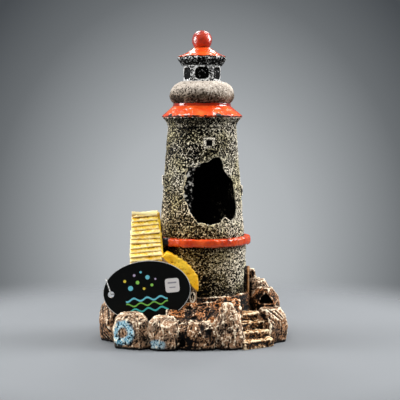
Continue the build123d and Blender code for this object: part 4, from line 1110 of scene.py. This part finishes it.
def printTag():
    work = bmesh.new()
    layer = work.loops.layers.float_color.new("inkColour")
    start, end = tag["waveSpanMm"]
    steps = tag["waveSteps"]
    for up, colour, half in tag["waves"]:
        places = [start + (end - start) * k / steps for k in range(steps + 1)]
        crest = [tag["waveHighMm"] * math.sin(math.tau * x / tag["waveLengthMm"] + up) for x in places]
        for (x0, c0), (x1, c1) in zip(zip(places, crest), zip(places[1:], crest[1:])):
            printShape(work, layer, [(x0, up + c0 - half), (x1, up + c1 - half), (x1, up + c1 + half),
                                     (x0, up + c0 + half)], colour)
    turns = [math.tau * k / tag["bubbleSteps"] for k in range(tag["bubbleSteps"])]
    for across, up, radius, colour in tag["bubbles"]:
        printShape(work, layer, [(across + radius * math.cos(turn), up + radius * math.sin(turn))
                                 for turn in turns], colour)
    printShape(work, layer, roundedPanel(*tag["panelMm"]), tag["panelColour"])
    for across, up, wide, high, colour in tag["bars"]:
        outline = roundedPanel(across, up, wide, high, high * tag["barRound"])
        printShape(work, layer, outline, colour, tag["barLift"])
    # the card's white core shows as a thin line along the cut edge
    rim = cardRim()
    for first, second in zip(rim, rim[1:] + rim[:1]):
        inner = []
        for across, up in (second, first):
            share = 1 - tag["coreMm"] / math.hypot(across, up)
            inner.append((across * share, up * share))
        printShape(work, layer, [first, second, *inner], tag["coreColour"], tag["coreLift"])
    bmesh.ops.remove_doubles(work, verts=work.verts, dist=tag["weldM"])
    bmesh.ops.recalc_face_normals(work, faces=work.faces)
    piece = pieceFrom(work, "tagPrint")
    piece.data.materials.append(screenInk())
    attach(piece, "tag")


card = frame["nodes"]["tag_card"]
card.data.materials.clear()
card.data.materials.append(satinCard())
printTag()
print("tag printed")

# Stage: pale floor that fades into a grey backdrop with a painted pool of light round the object, darker
# outwards, softboxes at the sides and behind, and one overhead
# lamps: place and size in mm, power, and whether gloss mirrors them
stage = {"floorColour": "#6c6f72", "floorMm": 600, "floorSides": 96, "floorRoughness": 0.8,
         "fadeMm": (150, 290), "lightGrey": "#eef0f2", "worldLight": 0.16, "frontGrey": "#4b4e51",
         "frontTurn": (0.3, -0.4),
         "backdrop": [(0.0, "#c3c7ca"), (0.15, "#b0b4b7"), (0.25, "#8f9396"), (0.333, "#6b6f72"),
                      (0.433, "#484c50"), (0.9, "#85898c")],
         "spread": (0.2, 0.24), "spreadReach": 3, "dip": 0.1, "aimMm": 85,
         "lamps": {"rightSoftbox": ((600, 80, 460), (280, 420), 6.5, True),
                   "leftSoftbox": ((-640, 10, 260), (240, 420), 4.8, True),
                   "rightHigh": ((345, 100, 820), (180, 260), 2.6, True),
                   "leftHigh": ((-335, 100, 820), (180, 260), 2.6, True),
                   "rightBack": ((235, 623, 703), (170, 200), 1.6, True),
                   "leftBack": ((-225, 623, 703), (170, 200), 1.6, True),
                   "topSoftbox": ((0, -200, 880), (700, 800), 4.4, False),
                   "frontFill": ((-200, -800, 600), (300, 300), 4.3, False)}}


def paleFloor():
    # matte studio paper
    work = bmesh.new()
    bmesh.ops.create_circle(work, cap_ends=True, segments=stage["floorSides"], radius=stage["floorMm"] * mm)
    floor = pieceFrom(work, "paleFloor")
    material, tree, shader = newMaterial("mattePaper")
    place = addNode(tree, "TexCoord").outputs["Object"]
    apart = addNode(tree, "VectorMath", {0: place}, operation="LENGTH")
    solid = addNode(tree, "MapRange", {0: apart, **span(stage["fadeMm"], mm), 3: 1.0, 4: 0.0},
                    interpolation_type="SMOOTHSTEP")
    feed(tree, shader, {
        "Base Color": stage["floorColour"], "Roughness": stage["floorRoughness"], "Alpha": solid})
    floor.data.materials.append(material)


def greyBackdrop():
    world = bpy.data.worlds.new("greyBackdrop")
    bpy.context.scene.world = world
    world.use_nodes = True
    tree = world.node_tree
    tree.nodes.clear()
    direction = addNode(tree, "TexCoord").outputs["Generated"]
    lowered = addNode(tree, "VectorMath", {0: direction, 1: (0, 0, stage["dip"])})
    wide, high = stage["spread"]
    spread = addNode(tree, "VectorMath", {0: lowered, 1: (1 / wide, 0, 1 / high)}, operation="MULTIPLY")
    away = addNode(tree, "VectorMath", {0: spread}, operation="LENGTH")
    share = addNode(tree, "Math", {0: away, 1: 1 / stage["spreadReach"]}, operation="MULTIPLY")
    # a pool of light painted on the backdrop: lightest round the object, darker outwards
    ramp = addNode(tree, "ValToRGB", {0: share})
    fillRamp(ramp, [(position, hexToLinear(colour)) for position, colour in stage["backdrop"]])
    # darker on the camera's side, as a studio is behind the photographer
    ahead = addNode(tree, "SeparateXYZ", {0: direction}).outputs["Y"]
    front = addNode(tree, "MapRange", {0: ahead, **span(stage["frontTurn"])})
    around = addNode(tree, "Mix", {0: front, 6: ramp, 7: stage["frontGrey"]}, data_type="RGBA")
    shown = addNode(tree, "Background", {"Color": around, "Strength": 1.0})
    fill = addNode(tree, "Background", {"Color": stage["lightGrey"], "Strength": stage["worldLight"]})
    path = addNode(tree, "LightPath").outputs
    seen = path["Is Camera Ray"]
    for ray in ("Is Glossy Ray", "Is Transmission Ray"):
        seen = addNode(tree, "Math", {0: seen, 1: path[ray]}, operation="MAXIMUM")
    mixed = addNode(tree, "MixShader", {0: seen, 1: fill, 2: shown})
    addNode(tree, "OutputWorld", {0: mixed})


def softboxes():
    aim = Vector((axisX, axisY, stage["aimMm"] * mm))
    for name, (placeMm, sizeMm, power, mirrored) in stage["lamps"].items():
        light = bpy.data.lights.new(name, "AREA")
        light.shape = "RECTANGLE"
        light.size, light.size_y = [v * mm for v in sizeMm]
        light.energy = power
        lamp = addPiece(name, light)
        lamp.location = [v * mm for v in placeMm]
        lamp.rotation_euler = (aim - lamp.location).to_track_quat("-Z", "Y").to_euler()
        lamp.visible_camera = False
        lamp.visible_glossy = mirrored


paleFloor()
greyBackdrop()
softboxes()
bpy.context.scene.view_settings.view_transform = "Standard"
print("stage set")
